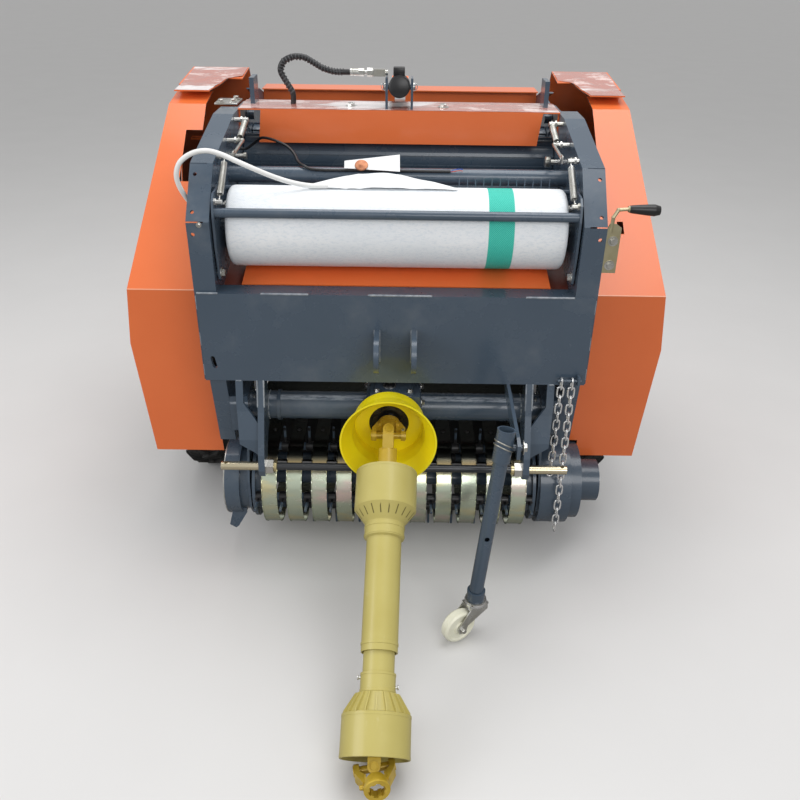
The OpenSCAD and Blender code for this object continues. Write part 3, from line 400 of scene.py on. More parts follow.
# Welds of the frame: the beam's top edge and ends, the top link lugs, the brackets and their gussets,
# and the stitches along the side plates' top strips.
shape = bmesh.new()
for x0, x1 in ((-466, -416), (-316, -204), (-66, 85), (303, 418)):
    weld(shape, at(x0, 57, 777.5), at(x1, 57, 777.5), 6)
for m in (-1, 1):
    for z0, z1 in ((560, 590), (640, 675), (735, 770)):
        weld(shape, at(m * 468.5, 60, z0), at(m * 468.5, 60, z1), 5)
    for x in (38, 50):
        weld(shape, at(m * x, 55.5, 604), at(m * x, 55.5, 690), 5)
    for y0, z0, y1, z1 in ((170, 1053, 240, 1069), (270, 1075, 330, 1086), (380, 1097, 430, 1106)):
        weld(shape, at(m * 430, y0, z0 - 7), at(m * 430, y1, z1 - 7), 5)
    for x in (325.5, 341.5):
        weld(shape, at(m * x, 56, 548), at(m * x, 36, 482), 5)
    weld(shape, at(m * 380, 57, 546.5), at(m * 394, 57, 546.5), 5)
    for k in range(14):
        a0, a1 = math.radians(k * 25.7), math.radians(k * 25.7 + 20)
        weld(shape, at(m * 325.5, 125 + 37 * math.cos(a0), 440 + 37 * math.sin(a0)),
             at(m * 325.5, 125 + 37 * math.cos(a1), 440 + 37 * math.sin(a1)), 4)
# The beads' paint is lighter than the frame's blue: a painted highlight for the glint along them.
solid("frame_welds", shape,
      cloudy("weld_painted_highlight", (0.16, 0.19, 0.23), (0.34, 0.37, 0.4), 0.22, 60.0, {"Coat Weight": 0.6}),
      "frame", 50)

# Bearings of the chamber rollers: pressed flange housings bolted to the side plates and the tailgate,
# with the journals' ends showing through.
RING_Y, RING_Z, RING_R = 650, 680, 307
cast = cloudy("bearing_housing", (0.02, 0.024, 0.03), (0.035, 0.04, 0.048), 0.45, 30.0, grain=0.15)
for body, angles in (("frame", [104, 130, 156, 182, 256]), ("tailgate", [-78, -52, -26, 0, 26, 52, 78])):
    housing, bolts = bmesh.new(), bmesh.new()
    for angle in angles:
        y = RING_Y + RING_R * math.cos(math.radians(angle))
        z = RING_Z + RING_R * math.sin(math.radians(angle))
        for m in (-1, 1):
            lathe(housing, [(18, 0), (36, 0), (37, 2), (36, 3.5), (31, 4), (28, 8), (23, 10), (18, 10)],
                  at(m * 428, y, z), (m, 0, 0), 28)
            for k in range(3):
                turn = math.radians(angle + 60 + 120 * k)
                hexagon(bolts, at(m * 431.6, y + 31 * math.cos(turn), z + 31 * math.sin(turn)), (m, 0, 0), 8,
                        4, False)
    solid("bearings_" + body, housing, cast, body)
    solid("bearing_bolts_" + body, bolts, zinc, body)

# Small hardware on the front frame: zinc bolts in the flanges and at the shelf, the bearing of the
# guide roller on the right and the hinge cover plate on the left.
shape = bmesh.new()
hexagon(shape, at(-441, 56, 941), (0, -1, 0), 7, 4)
for m in (-1, 1):
    hexagon(shape, at(m * 411, 100, 812), (-m, 0, 0), 15, 7)
    hexagon(shape, at(m * 411, 215, 940), (-m, 0, 0), 12, 6)
    hexagon(shape, at(m * 448, 655, 1068), (m, 0, 0), 24, 6)
    for x, y in ((404, 300), (404, 130)):
        hexagon(shape, at(m * x, y - 6, 802 if y > 200 else 758), (0, 0, 1), 10, 5)
lathe(shape, [(0, 0), (7, 0), (7, 26), (13, 26), (14, 28), (14, 38), (12, 40), (0, 40)], at(420, 430, 1001),
      (-1, 0, 0), 24)
lathe(shape, [(0, 0), (6, 0), (6, 20), (9, 20), (9, 27), (0, 27)], at(-420, 430, 1006), (1, 0, 0), 20)
block(shape, (-494, 560, 1108.5), (-432, 638, 1113.5), 1.2)
for x, y in ((-478, 570), (-448, 578), (-446, 622)):
    hexagon(shape, at(x, y, 1113.5), (0, 0, 1), 13, 7)
solid("frame_hardware", shape, zinc, "frame")


# Drive line: the gearbox sits in the cross tube between two bolted flanges; its front cover and boss
# inside the guard cone are coloured near-black as a painted shade, and a black filler plug stands on top.
def gearbox_paint(w):
    values = blue_paint(w)
    # Painted shade: the gearbox's front, inside the guard cone, goes near-black.
    inside = 1.0 - w.axis("Y").band(at(0, 44, 0).y, at(0, 49, 0).y)
    values["Base Color"] = w.mix(inside, values["Base Color"], (0.006, 0.006, 0.007))
    return values


dress("gearbox", finish_of("gearbox_paint", {"Coat Weight": 0.25, "Coat Roughness": 0.12}, gearbox_paint))


def tube_paint(w):
    values = blue_paint(w)
    z = w.axis("Z")
    # A streaked pale band along the tube's top is a painted highlight, for the glint of light along it.
    dust_and_glint = w.noise(190.0, 4.0, 0.8, (0.12, 1, 1)).band(0.34, 0.6)
    painted_glint = (z.band(0.466, 0.47) - z.band(0.4735, 0.4755)) * dust_and_glint
    values["Base Color"] = w.mix(painted_glint * 0.75, values["Base Color"], (0.5, 0.55, 0.62))
    return values


dress("drive_tube", finish_of("tube_paint", {"Coat Weight": 0.35, "Coat Roughness": 0.1}, tube_paint))
shape = bmesh.new()
for x in (-73, 55):
    block(shape, (x, 72, 388), (x + 12, 178, 490), 2)
for m in (-1, 1):
    lathe(shape, [(36.1, 0), (40, 0), (40, 9), (36.1, 9)], at(m * 300 - 4, 125, 440), (1, 0, 0), 36)
block(shape, (-52, 60, 509.6), (46, 190, 514), 1.5)
solid("gearbox_flanges", shape, blue, "frame")
shape = bmesh.new()
for x, m in ((-73, -1), (67, 1)):
    for y, z in ((84, 476), (166, 476), (84, 402), (166, 402)):
        hexagon(shape, at(x, y, z), (m, 0, 0), 13, 7)
for x, y in ((-44, 70), (38, 70), (-44, 180), (38, 180)):
    hexagon(shape, at(x, y, 514), (0, 0, 1), 10, 5)
for x in (-362, 362):
    lathe(shape, [(0, 0), (4, 0), (4, 3), (2.2, 5), (3, 9), (2, 11), (0, 11)], at(x, 108, 471.5),
          (0, -0.45, 0.9), 12)
lathe(shape, [(13.5, 0), (17, 0), (17, 2.5), (13.5, 2.5)], at(-14, 100, 514), (0, 0, 1), 28)
solid("gearbox_hardware", shape, zinc, "frame")
shape = bmesh.new()
lathe(shape, [(0, 0), (13.4, 0), (13.4, 5), (11, 7), (5, 7), (4, 5), (0, 5)], at(-14, 100, 514), (0, 0, 1),
      28)
solid("gearbox_plug", shape, black_vinyl, "frame")


# Lower link pins and cross rod: turned steel, the pins in yellow zinc and the rod between them dark.
def pin_coat(w):
    side = w.make("ShaderNodeMath", {"operation": "ABSOLUTE"}, {0: w.axis("X")})
    bloom = w.noise(40.0, 4.0, stretch=(0.3, 1, 1))
    plated = w.mix(side.band(0.34, 0.3412), (0.6, 0.59, 0.55),
                   w.mix(bloom, (0.62, 0.52, 0.3), (0.78, 0.72, 0.58)))
    turned = side.band(0.304, 0.305)
    return {"Base Color": w.mix(turned, (0.05, 0.053, 0.058), plated), "Roughness": bloom * 0.2 + 0.14,
            "Metallic": turned * 0.5 + 0.42}


dress("lower_link_shaft", finish_of("pin_zinc", {}, pin_coat))
shape = bmesh.new()
for m in (-1, 1):
    lathe(shape, [(10.3, 0), (13.5, 0), (13.5, 7), (10.3, 8)], at(m * 305, 0, 330), (-m, 0, 0), 20)
solid("pin_collars", shape,
      cloudy("collar_gold", (0.6, 0.48, 0.2), (0.74, 0.64, 0.4), 0.2, 60.0, {"Metallic": 0.8}),
      "frame")

# Guard cone: moulded bright yellow plastic round the gearbox's shaft, bolted to its front. The raised
# lettering on its hood is left off; inside it a grease nipple shows on the yoke.
dress("pto_guard_cone", cloudy("cone_plastic", (1.0, 0.8, 0.006), (1.0, 0.87, 0.012), 0.36, 6.0,
                               {"Coat Weight": 0.15}, 0.05))
shape = bmesh.new()
lathe(shape, [(0, -3), (4, -3), (4, 2), (2.2, 4), (3.2, 8), (2, 10), (0, 10)], at(21, -14, 453),
      (0.3, -0.5, 0.8), 14)
solid("near_grease_nipple", shape, zinc, "frame")

# Drive shaft: two pale yellow plastic guards slide one in the other; the near bell's slots are dark strips
# laid on it as painted shade, and the far bell has fins on its taper. The printed sheet on the tube is left
# off.
JOINT = at(-14, -20, 440)
LEAN = Matrix.Translation(JOINT) @ Matrix.Rotation(math.radians(31.15), 4, "X")
SHAFT = LEAN @ Matrix.Rotation(math.radians(-1.1), 4, "Z")
END = SHAFT @ Matrix.Translation((0, -0.745, 0)) @ Matrix.Rotation(math.radians(11.1), 4, "Z")
TRACTOR = END @ Matrix.Rotation(math.radians(-41.15), 4, "X")
DOWN_SHAFT = SHAFT.to_3x3() @ Vector((0, -1, 0))


def guard_plastic(w):
    haze = w.noise(9.0, 4.0)
    rub = w.noise(60.0, 5.0, 0.7, (1, 0.3, 0.3)).band(0.62, 0.74)
    colour = w.mix(haze, (0.46, 0.385, 0.1), (0.55, 0.48, 0.16))
    return {"Base Color": w.mix(rub * 0.25, colour, (0.66, 0.6, 0.34)), "Roughness": haze * 0.15 + 0.3,
            "Normal": w.noise(500.0, 2.0).bump(0.04)}


def with_forks(w):
    """Plastic over the guarded length, golden forging at both ends; along is the distance from the joint."""
    values = guard_plastic(w)
    tilt = math.radians(31.15)
    along = (JOINT.y - w.axis("Y")) * math.cos(tilt) + (JOINT.z - w.axis("Z")) * math.sin(tilt)
    x, y = w.axis("X") + 0.014, w.axis("Y") - JOINT.y
    z = w.axis("Z") - JOINT.z
    square = x * x + y * y + z * z - along * along
    inside = 1.0 - square.band(0.00285, 0.00295)
    forged = inside * (1.0 - along.band(0.1, 0.101) + along.band(0.69, 0.692))
    values["Base Color"] = w.mix(forged, values["Base Color"],
                                 w.mix(w.noise(30.0), (0.5, 0.33, 0.02), (0.68, 0.48, 0.06)))
    return values


plastic = finish_of("guard_plastic", {"Coat Weight": 0.1}, guard_plastic)
dress("pto_outer pto_inner", finish_of("guard_and_forks", {"Coat Weight": 0.12}, with_forks))


def rib(shape, outline, thick, angle, frame_matrix):
    """A thin plate on a turned part: outline of radius and distance in mm, at an angle round the axis."""
    place = frame_matrix @ Matrix.Rotation(math.radians(angle), 4, "Y")
    ring = [shape.verts.new(place @ (Vector((r, -s, -thick / 2)) / 1000)) for r, s in outline]
    face = shape.faces.new(ring)
    lift = bmesh.ops.extrude_face_region(shape, geom=[face])
    moved = [v for v in lift["geom"] if isinstance(v, bmesh.types.BMVert)]
    bmesh.ops.translate(shape, verts=moved, vec=place.to_3x3() @ Vector((0, 0, thick / 1000)))


fins, slots = bmesh.new(), bmesh.new()
for k in range(20):
    rib(fins, [(43, 604), (48, 605), (70, 640), (70.5, 646), (64, 646)], 2.6, k * 18, SHAFT)
    rib(slots, [(70.2, 199.4), (71, 198.8), (54.6, 220.6), (53.6, 220.4)], 2.8, k * 18 + 9, SHAFT)
solid("far_bell_fins", fins, plastic, "pto_inner")
# The near bell's slot strips are dark: painted shade standing for the openings.
solid("near_bell_slots", slots, cloudy("slot_painted_shade", (0.12, 0.1, 0.02), (0.18, 0.15, 0.04), 0.7), "pto_outer")
shape = bmesh.new()
for low, high, radius in ((104, 108, 73), (238, 243, 47), (258, 262, 47), (500, 506, 41)):
    lathe(shape, [(radius - 2, low - 1), (radius, low), (radius, high), (radius - 2, high + 1)], JOINT,
          DOWN_SHAFT, 48)
solid("near_guard_rings", shape, plastic, "pto_outer")
shape = bmesh.new()
for low, high, radius in ((564, 568, 38.2), (597, 602, 38.6), (648, 652, 73), (724, 729, 73)):
    lathe(shape, [(radius - 2, low - 1), (radius, low), (radius, high), (radius - 2, high + 1)], JOINT,
          DOWN_SHAFT, 48)
solid("far_guard_rings", shape, plastic, "pto_inner")
shape = bmesh.new()
for m, s in ((-1, 572), (1, 590)):
    lathe(shape, [(0, 0), (3, 0), (3, 4), (5, 5), (5, 7), (0, 7)], SHAFT @ (Vector((m * 37, -s, 0)) / 1000),
          SHAFT.to_3x3() @ Vector((m, 0, 0)), 14)
solid("guard_clips", shape, zinc, "pto_inner")

# Universal joints: forged forks in golden paint, the crosses' bearing caps held by rings, a grease
# nipple on each cross, and six splines in the tractor end's bore.
gold = cloudy("fork_gold", (0.5, 0.33, 0.02), (0.68, 0.48, 0.06), 0.32, 30.0,
              {"Metallic": 0.25, "Coat Weight": 0.3}, 0.2)
dress("pto_input_yoke pto_end_yoke pto_cross pto_end_cross", gold)


def caps(name, place, axis, body):
    made = bmesh.new()
    for m in (-1, 1):
        lathe(made, [(0, 0), (7, 0), (7.6, 0.8), (9, 0.8), (9, 2), (10.6, 2), (10.6, 0)],
              place @ (Vector(axis) * m * 0.0408), place.to_3x3() @ (Vector(axis) * m), 22)
    solid(name, made, gold, body)


caps("near_caps_frame", LEAN, (1, 0, 0), "frame")
caps("near_caps_shaft", SHAFT, (0, 0, 1), "pto_outer")
caps("far_caps_shaft", SHAFT @ Matrix.Translation((0, -0.745, 0)), (0, 0, 1), "pto_inner")
caps("far_caps_yoke", TRACTOR, (1, 0, 0), "pto_end_yoke")
shape = bmesh.new()
for k in range(6):
    rib(shape, [(14.6, 40), (17.6, 40), (17.6, 58.6), (14.6, 58.6)], 7.6, k * 60 + 14, TRACTOR)
lathe(shape, [(25.4, 50), (26.6, 51), (26.6, 57), (25.2, 58.6)], TRACTOR.translation,
      TRACTOR.to_3x3() @ Vector((0, -1, 0)), 32)
lathe(shape, [(0, 0), (5, 0), (5, 7), (3.6, 9), (0, 9)], TRACTOR @ (Vector((-25, -44, 0)) / 1000),
      TRACTOR.to_3x3() @ Vector((-1, 0, 0)), 16)
solid("end_splines", shape, gold, "pto_end_yoke")


# Side covers, panels and shelf: folded sheet sprayed orange, glossy, with fine orange peel. Faces that
# look inwards are darkened, to stand for the photo's deep shade behind the covers.
def orange_paint(w):
    haze = w.noise(5.0, 4.0)
    scuff = w.noise(46.0, 5.0, 0.75, (1, 1, 0.35)).band(0.68, 0.8)
    colour = w.mix(haze, (0.76, 0.15, 0.035), (0.84, 0.19, 0.05))
    colour = w.mix(scuff * 0.2, colour, (0.9, 0.42, 0.25))
    side = w.make("ShaderNodeMath", {"operation": "SIGN"}, {0: w.axis("X")})
    facing = w.make("ShaderNodeSeparateXYZ", {}, {0: w.make("ShaderNodeNewGeometry", {}, {}, "Normal")}, "X")
    return {"Base Color": w.mix((0.0 - facing * side).band(0.4, 0.7) * 0.93, colour, (0.02, 0.016, 0.018)),
            "Roughness": haze * 0.14 + scuff * 0.2 + 0.26, "Normal": w.noise(170.0, 2.0).bump(0.06)}


def crease_paint(w):
    """The front covers' bend carries a painted highlight along its crown, broken up in streaks."""
    values = orange_paint(w)
    z = w.axis("Z")
    wear_and_highlight = w.noise(40.0, 3.0, 0.6, (1, 0.2, 0.2)).band(0.2, 0.4)
    line = (z.band(0.7284, 0.7292) - z.band(0.7306, 0.7314)) * wear_and_highlight
    values["Base Color"] = w.mix(line * 0.7, values["Base Color"], (1.0, 0.56, 0.38))
    return values


def shelf_paint(w):
    """The shelf's ends are painted dark, a painted shade in the recesses at both sides."""
    values = orange_paint(w)
    side = w.make("ShaderNodeMath", {"operation": "ABSOLUTE"}, {0: w.axis("X")})
    values["Base Color"] = w.mix(side.band(0.3695, 0.3705) * 0.85, values["Base Color"], (0.07, 0.02, 0.025))
    return values


orange = finish_of("cover_orange_paint", {"Coat Weight": 0.35, "Coat Roughness": 0.12}, orange_paint)
dress("top_panel tailgate_top rear_cover_left rear_cover_right", orange)
dress("front_cover_left front_cover_right",
      finish_of("crease_orange", {"Coat Weight": 0.35, "Coat Roughness": 0.12},
                                                      crease_paint))
dress("net_shelf", finish_of("shelf_orange", {"Coat Weight": 0.3, "Coat Roughness": 0.15}, shelf_paint))

shape = bmesh.new()
for m in (-1, 1):
    for y, z, n in ((240, 600, 688), (600, 800, 669)):
        hexagon(shape, at(m * (n + 1.2), y, z), (m, 0, 0), 13, 6)
solid("cover_bolts", shape, zinc, "frame")
shape = bmesh.new()
for m in (-1, 1):
    for z, n in ((600, 688), (950, 655)):
        hexagon(shape, at(m * (n + 1.2), 900, z), (m, 0, 0), 13, 6)
solid("rear_cover_bolts", shape, zinc, "tailgate")


# Protective film still on the flaps and the top panel: thin, pale red over the paint, creased, with
# near-white patches painted on as reflections, lifting a little off the sheet.
def film_look(w):
    crease = w.noise(22.0, 6.0, 0.7, (0.5, 1, 1))
    pale = crease.band(0.5, 0.62)
    # Near-white patches: painted reflections of light on the film.
    painted_glare = w.noise(5.5, 3.0, 0.5, (0.6, 1.5, 1)).band(0.54, 0.6)
    tint = w.mix(pale, (0.5, 0.2, 0.16), (0.82, 0.6, 0.56))
    return {"Base Color": w.mix(painted_glare * 0.85, tint, (0.97, 0.93, 0.93)), "Roughness": crease * 0.2 + 0.05,
            "Normal": crease.bump(0.5, 0.004)}


film = finish_of("red_film", {"Coat Weight": 0.6, "Coat Roughness": 0.05}, film_look)


for name, m, rest, body in (("panel", 0, "top_panel", "frame"), ("left", -1, "rear_cover_left", "tailgate"),
                            ("right", 1, "rear_cover_right", "tailgate")):
    made = bmesh.new()
    bmesh.ops.create_grid(made, x_segments=30, y_segments=16, size=1)
    for vert in made.verts:
        u, v = (vert.co.x + 1) / 2, (vert.co.y + 1) / 2
        if m:
            y = 692 + 264 * v
            inner = 536 - 27 * min(1, (y - 692) / 150) - 41 * min(1, max(0, (y - 838) / 14))
            x = m * (inner + (631 - inner) * u)
            z = 1124 + (y - 690) / 21 if y < 774 else 1128 + (y - 772) * 0.117
        else:
            x, y, z = -418 + 836 * u, 501.5 + 131 * v, 1111
        spot = at(x, y, z)
        crease = abs(noise.noise(spot * 24)) + 0.5 * abs(noise.noise(spot * 60))
        vert.co = spot + Vector((0, 0, 0.0005 + 0.0035 * crease * min(1, 5 * min(v, 1 - v) + 0.15)))
    piece = solid("film_" + name, made, film, body, 60)
shape = bmesh.new()
for x in (-127, 117):
    hexagon(shape, at(x, 550, 1111.8), (0, 0, 1), 17, 8)
solid("panel_bolts", shape, zinc, "frame")

# Lift cylinder: black barrel with a rolled rim at its foot, chromed rod, a port block on top and two
# pins with split rings in the bracket's ears.
dress("cylinder_barrel",
      cloudy("barrel_black", (0.008, 0.008, 0.01), (0.02, 0.02, 0.024), 0.28, 20.0, {"Coat Weight": 0.4}))
dress("cylinder_rod",
      cloudy("rod_chrome", (0.72, 0.73, 0.75), (0.82, 0.83, 0.84), 0.14, 30.0, {"Metallic": 1.0}))
DIP = math.atan2(55, 428)
ALONG = Vector((0, math.cos(DIP), -math.sin(DIP)))
foot_end = at(0, 532, 1165) - ALONG * 0.021
shape = bmesh.new()
lathe(shape, [(0, -1), (23, -1), (25, 0), (27.4, 1), (27.9, 4), (27.4, 6)], foot_end, ALONG, 40)
lathe(shape, [(27.4, 206), (29, 207), (29, 230), (27, 232), (22, 232), (21, 229), (14.2, 229)], foot_end,
      ALONG, 40)
block(shape, (-16, 538, 1186), (14, 566, 1210), 2)
solid("cylinder_ends", shape, black_vinyl, "cylinder_barrel")
shape = bmesh.new()
for m in (-1, 1):
    lathe(shape, [(0, 0), (11, 0), (11, 3), (8, 3), (8, 6), (0, 6)], at(m * 36, 532, 1165), (m, 0, 0), 20)
solid("cylinder_pin_ends", shape, zinc, "frame")
eighths = [k * math.pi / 4 for k in range(8)]
rings = [[at(m * 40 + 7 * math.cos(a), 532, 1165 + 9 * math.sin(a)) for a in eighths] for m in (-1, 1)]
tube("split_rings", rings, 2.2, zinc, "frame", closed=True, fine=3, round_steps=1)


# Net roll: white knitted net wound on a card tube, with a green marking band near its right end and a
# little slack in the winding.
NET = at(0, 185, 900)


def net_look(w):
    x = w.axis("X")
    angle = w.make("ShaderNodeMath", {"operation": "ARCTAN2"},
                   {0: w.axis("Z") - NET.z, 1: w.axis("Y") - NET.y})
    mesh_a = w.make("ShaderNodeMath", {"operation": "SINE"}, {0: x * 1500.0 + angle * 130.0})
    mesh_b = w.make("ShaderNodeMath", {"operation": "SINE"}, {0: x * 1500.0 - angle * 130.0})
    weave = w.maths("MAXIMUM", mesh_a, mesh_b)
    slack = w.noise(13.0, 4.0, 0.6, (0.4, 1, 1))
    pores = w.noise(210.0, 4.0, 0.8, (0.45, 1, 1)).band(0.36, 0.52)
    white = w.mix(weave.band(0.2, 0.95) * 0.3 + slack.band(0.35, 0.75) * 0.5, (0.84, 0.88, 0.92),
                  (0.95, 0.96, 0.97))
    white = w.mix(pores, (0.78, 0.83, 0.88), white)
    hatch = w.mix(mesh_a.band(-0.2, 0.9), (0.01, 0.42, 0.32), (0.12, 0.72, 0.6))
    green = x.band(0.2095, 0.2115) - x.band(0.2685, 0.2705)
    return {"Base Color": w.mix(green, white, hatch),
            "Normal": (weave * 0.35 + slack + pores * 0.5).bump(0.4, 0.002)}


net = finish_of("net_knit", {"Roughness": 0.75}, net_look)
shape = bmesh.new()
profile = [(36, 0), (36, 0.5), (80, 0.5), (88, 2), (92.5, 6), (94.4, 12)]
profile += [(94.6, s) for s in range(30, 770, 20)] + [(94.4, 778), (92.5, 784), (88, 788), (80, 789.5),
                                                      (36, 789.5), (36, 0)]
lathe(shape, profile, at(-395, 185, 900), (1, 0, 0), 72)
for vert in shape.verts:
    centre = Vector((vert.co.x, NET.y, NET.z))
    out = vert.co - centre
    if out.length > 0.085:
        sag = noise.noise(Vector((vert.co.x * 7, out.y * 22, out.z * 22)))
        vert.co = centre + out * (1 - 0.008 * (0.5 + 0.5 * sag))
roll = solid("net_winding", shape, net, "net_roll", 50)
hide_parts("net_roll")
shape = bmesh.new()
lathe(shape, [(15.3, 0), (36.2, 0), (36.2, 790), (15.3, 790), (15.3, 0)], at(-395, 185, 900), (1, 0, 0), 32)
solid("net_core", shape, cloudy("card_tube", (0.3, 0.22, 0.14), (0.38, 0.29, 0.19), 0.8, 40.0), "net_roll")

# Loose end of the net: a few layers drawn back over the feed bar, in lengthwise folds.
shape = bmesh.new()
bmesh.ops.create_grid(shape, x_segments=60, y_segments=12, size=1)
for vert in shape.verts:
    u, v = (vert.co.x + 1) / 2, (vert.co.y + 1) / 2
    x = -205 + 345 * u
    wide = min(1, 0.25 + 2.4 * u) * min(1, 0.12 + 2.2 * (1 - u))
    y = 168 + 118 * v * wide
    rest = 995.2 + max(0, y - 185) * 0.045
    fold = 4.2 * abs(math.sin(v * 8 + u * 2.5 + 2 * noise.noise(Vector((u * 5, v * 2, 0)))))
    vert.co = at(x, y, rest + fold * (0.25 + 0.75 * math.sin(math.pi * u)) + 0.6)
loose = solid("net_loose_end", shape,
              cloudy("net_white_end", (0.76, 0.79, 0.81), (0.88, 0.89, 0.89), 0.7, 60.0, grain=0.3),
              "frame", 70)

# Card tag with a copper seal, left on the feed bar beside the cable.
shape = bmesh.new()
corners = [(-132, 322, 1023), (4, 334, 1037), (5, 303, 1003), (-132, 308, 1009)]
face = shape.faces.new([shape.verts.new(at(*p)) for p in corners])
lift = bmesh.ops.extrude_face_region(shape, geom=[face])
bmesh.ops.translate(shape, verts=[v for v in lift["geom"] if isinstance(v, bmesh.types.BMVert)],
                    vec=(0, 0.0005, -0.0006))
solid("card_tag", shape, cloudy("white_card", (0.8, 0.81, 0.82), (0.88, 0.88, 0.88), 0.6, 50.0), "frame")
shape = bmesh.new()
lathe(shape, [(0, 3), (5, 3.2), (8, 2.2), (12, 2.6), (15.5, 2), (16.5, 0.8), (16, 0), (0, 0)],
      at(-90, 313, 1014.5), (0, -0.62, 0.78), 28)
solid("tag_seal", shape,
      cloudy("copper", (0.28, 0.1, 0.05), (0.42, 0.18, 0.09), 0.35, 90.0, {"Metallic": 0.6}), "frame")

# Tension springs and their studs: close-wound zinc springs hooked between the net cheeks and the side
# plates, two on each side.
shape = bmesh.new()
coils, hooks = [], []
for m in (-1, 1):
    for x, y0, z0, y1, z1, inner in ((401, 100, 980, 205, 1057, 411), (390, 330, 1066, 440, 1094, 420)):
        a, b = at(m * x, y0, z0), at(m * x, y1, z1)
        coils.append(winding([a.lerp(b, 0.16), a.lerp(b, 0.86)], 0.0066, 30, 8, (1, 0, 0)))
        hooks.append([a.lerp(b, 0.17), a.lerp(b, 0.1), a + Vector((0, 0.004, 0.003)),
                      a + Vector((0, 0, 0.008))])
        hooks.append([a.lerp(b, 0.85), a.lerp(b, 0.92), b - Vector((0, 0.004, 0.003)),
                      b + Vector((0, 0, 0.008))])
        rod(shape, at(m * (x - 7), y0, z0), at(m * inner, y0, z0), 12)
        rod(shape, at(m * (x - 7), y1, z1), at(m * 420, y1, z1), 12)
        hexagon(shape, at(m * (x + 6), y0, z0), (m, 0, 0), 15, 5, False)
        hexagon(shape, at(m * (x + 8), y1, z1), (m, 0, 0), 15, 5, False)
    block(shape, (min(m * 378, m * 382), 196, 1052), (max(m * 378, m * 382), 216, 1070), 1)
    rod(shape, at(m * 380, 206, 1062), at(m * 380, 330, 1067), 8)
    rod(shape, at(m * 378, 330, 1066), at(m * 392, 330, 1066), 12)
studs = solid("spring_studs", shape, zinc, "frame")
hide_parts("tension_arms")
tube("tension_springs", coils, 2.8, zinc, "frame", fine=2, round_steps=1)
tube("spring_hooks", hooks, 3, zinc, "frame", fine=3, round_steps=2)


# Net brake lever: olive zinc plate and bent rod, black ribbed grip.
def lever_look(w):
    grip = w.axis("X").band(0.5155, 0.5165)
    bloom = w.noise(50.0, 4.0)
    return {"Base Color": w.mix(grip, w.mix(bloom, (0.42, 0.38, 0.22), (0.55, 0.5, 0.34)),
                                (0.012, 0.012, 0.013)),
            "Metallic": 0.85 - grip * 0.85, "Roughness": bloom * 0.2 + 0.25}


dress("net_lever", finish_of("lever_finish", {}, lever_look))
shape = bmesh.new()
for x, z in ((487, 858), (487, 915)):
    hexagon(shape, at(x, 62, z), (0, -1, 0), 13, 6)
solid("lever_bolts", shape, zinc, "frame")


# Stripper bands: bent sheet with a bright yellow zinc coat that turns from gold to green and violet,
# bolted at the back; the tined reel turns between them. The studio's light reaches under the frame, so
# the bands' tops are darkened to stand for the photo's deep shade there.
def band_coat(w):
    bloom = w.noise(9.0, 4.0, 0.6, (0.35, 1, 1))
    tint = w.mix(bloom.band(0.35, 0.5), (0.86, 0.78, 0.46), (0.66, 0.74, 0.58))
    tint = w.mix(bloom.band(0.52, 0.68), tint, (0.84, 0.68, 0.62))
    rub = w.noise(120.0, 4.0, 0.6, (0.2, 1, 1))
    z = w.axis("Z")
    # An amber strip just below the dark tops is painted as the soft edge of that painted shade.
    tint = w.mix((z.band(0.268, 0.286) - z.band(0.294, 0.31)) * 0.7, tint, (0.62, 0.4, 0.14))
    tint = w.mix(z.band(0.288, 0.306) * 0.96, tint, (0.012, 0.012, 0.013))
    return {"Base Color": tint, "Roughness": rub * 0.2 + 0.14, "Normal": rub.bump(0.05)}


# The reel's axis, the pitch of its tines and of the bands between them, and the radius of the bands' lips.
REEL_Y, REEL_Z, PITCH, LIP = 150, 196, 66, 126
bands = finish_of("band_zinc", {"Metallic": 0.95}, band_coat)
dress("stripper_bands", bands)
shape = bmesh.new()
for i in range(11):
    x = (i - 5) * PITCH
    for edge in (-19.5, 19.5):
        turns = [math.radians(a) for a in range(90, 271, 12)]
        arc = [(REEL_Y + LIP * math.cos(a), REEL_Z + LIP * math.sin(a)) for a in turns]
        for (y0, z0), (y1, z1) in zip(arc, arc[1:]):
            rod(shape, at(x + edge, y0, z0), at(x + edge, y1, z1), 2.6, 6)
solid("band_lips", shape, bands, "frame", 60)
# Feed plate: folded sheet between the pickup's side plates, closing the mouth behind the bands, coloured
# near-black as a painted shade. It is a guess: the photo is black there.
shape = bmesh.new()
block(shape, (-378, 346, 122), (378, 349, 318), 1)
block(shape, (-378, 330, 119), (378, 349, 122), 1)
solid("feed_plate", shape, cloudy("painted_shade_sheet", (0.006, 0.007, 0.008), (0.016, 0.017, 0.018), 0.75, 20.0),
      "frame")
shape = bmesh.new()
for i in range(11):
    for y, z in ((270, 323.4), (190, 321)):
        lathe(shape, [(0, 0), (6, 0), (5, 2.4), (0, 3)], at((i - 5) * PITCH, y, 321), (0, 0, 1), 12)
solid("band_rivets", shape, black_vinyl, "frame")
shape = bmesh.new()
for k in range(4):
    a = math.radians(90 * k)
    out, ahead = Vector((0, -math.sin(a), math.cos(a))), Vector((0, -math.cos(a), -math.sin(a)))
    for i in range(12):
        root = at((i - 5.5) * PITCH, REEL_Y, REEL_Z)
        for low, high, wide in ((96, 128, 7.5), (126, 150, 6.2)):
            rod(shape, root + out * low / 1000, root + out * high / 1000, wide, 8)
        rod(shape, root + out * 0.148, root + out * 0.158 + ahead * 0.006, 6, 8)
        lathe(shape, [(11.2, -11), (13.5, -9), (13.5, 9), (11.2, 11)], root + out * 0.098, (1, 0, 0), 14)
solid("tine_clamps", shape, black_vinyl, "pickup_reel")
shape = bmesh.new()
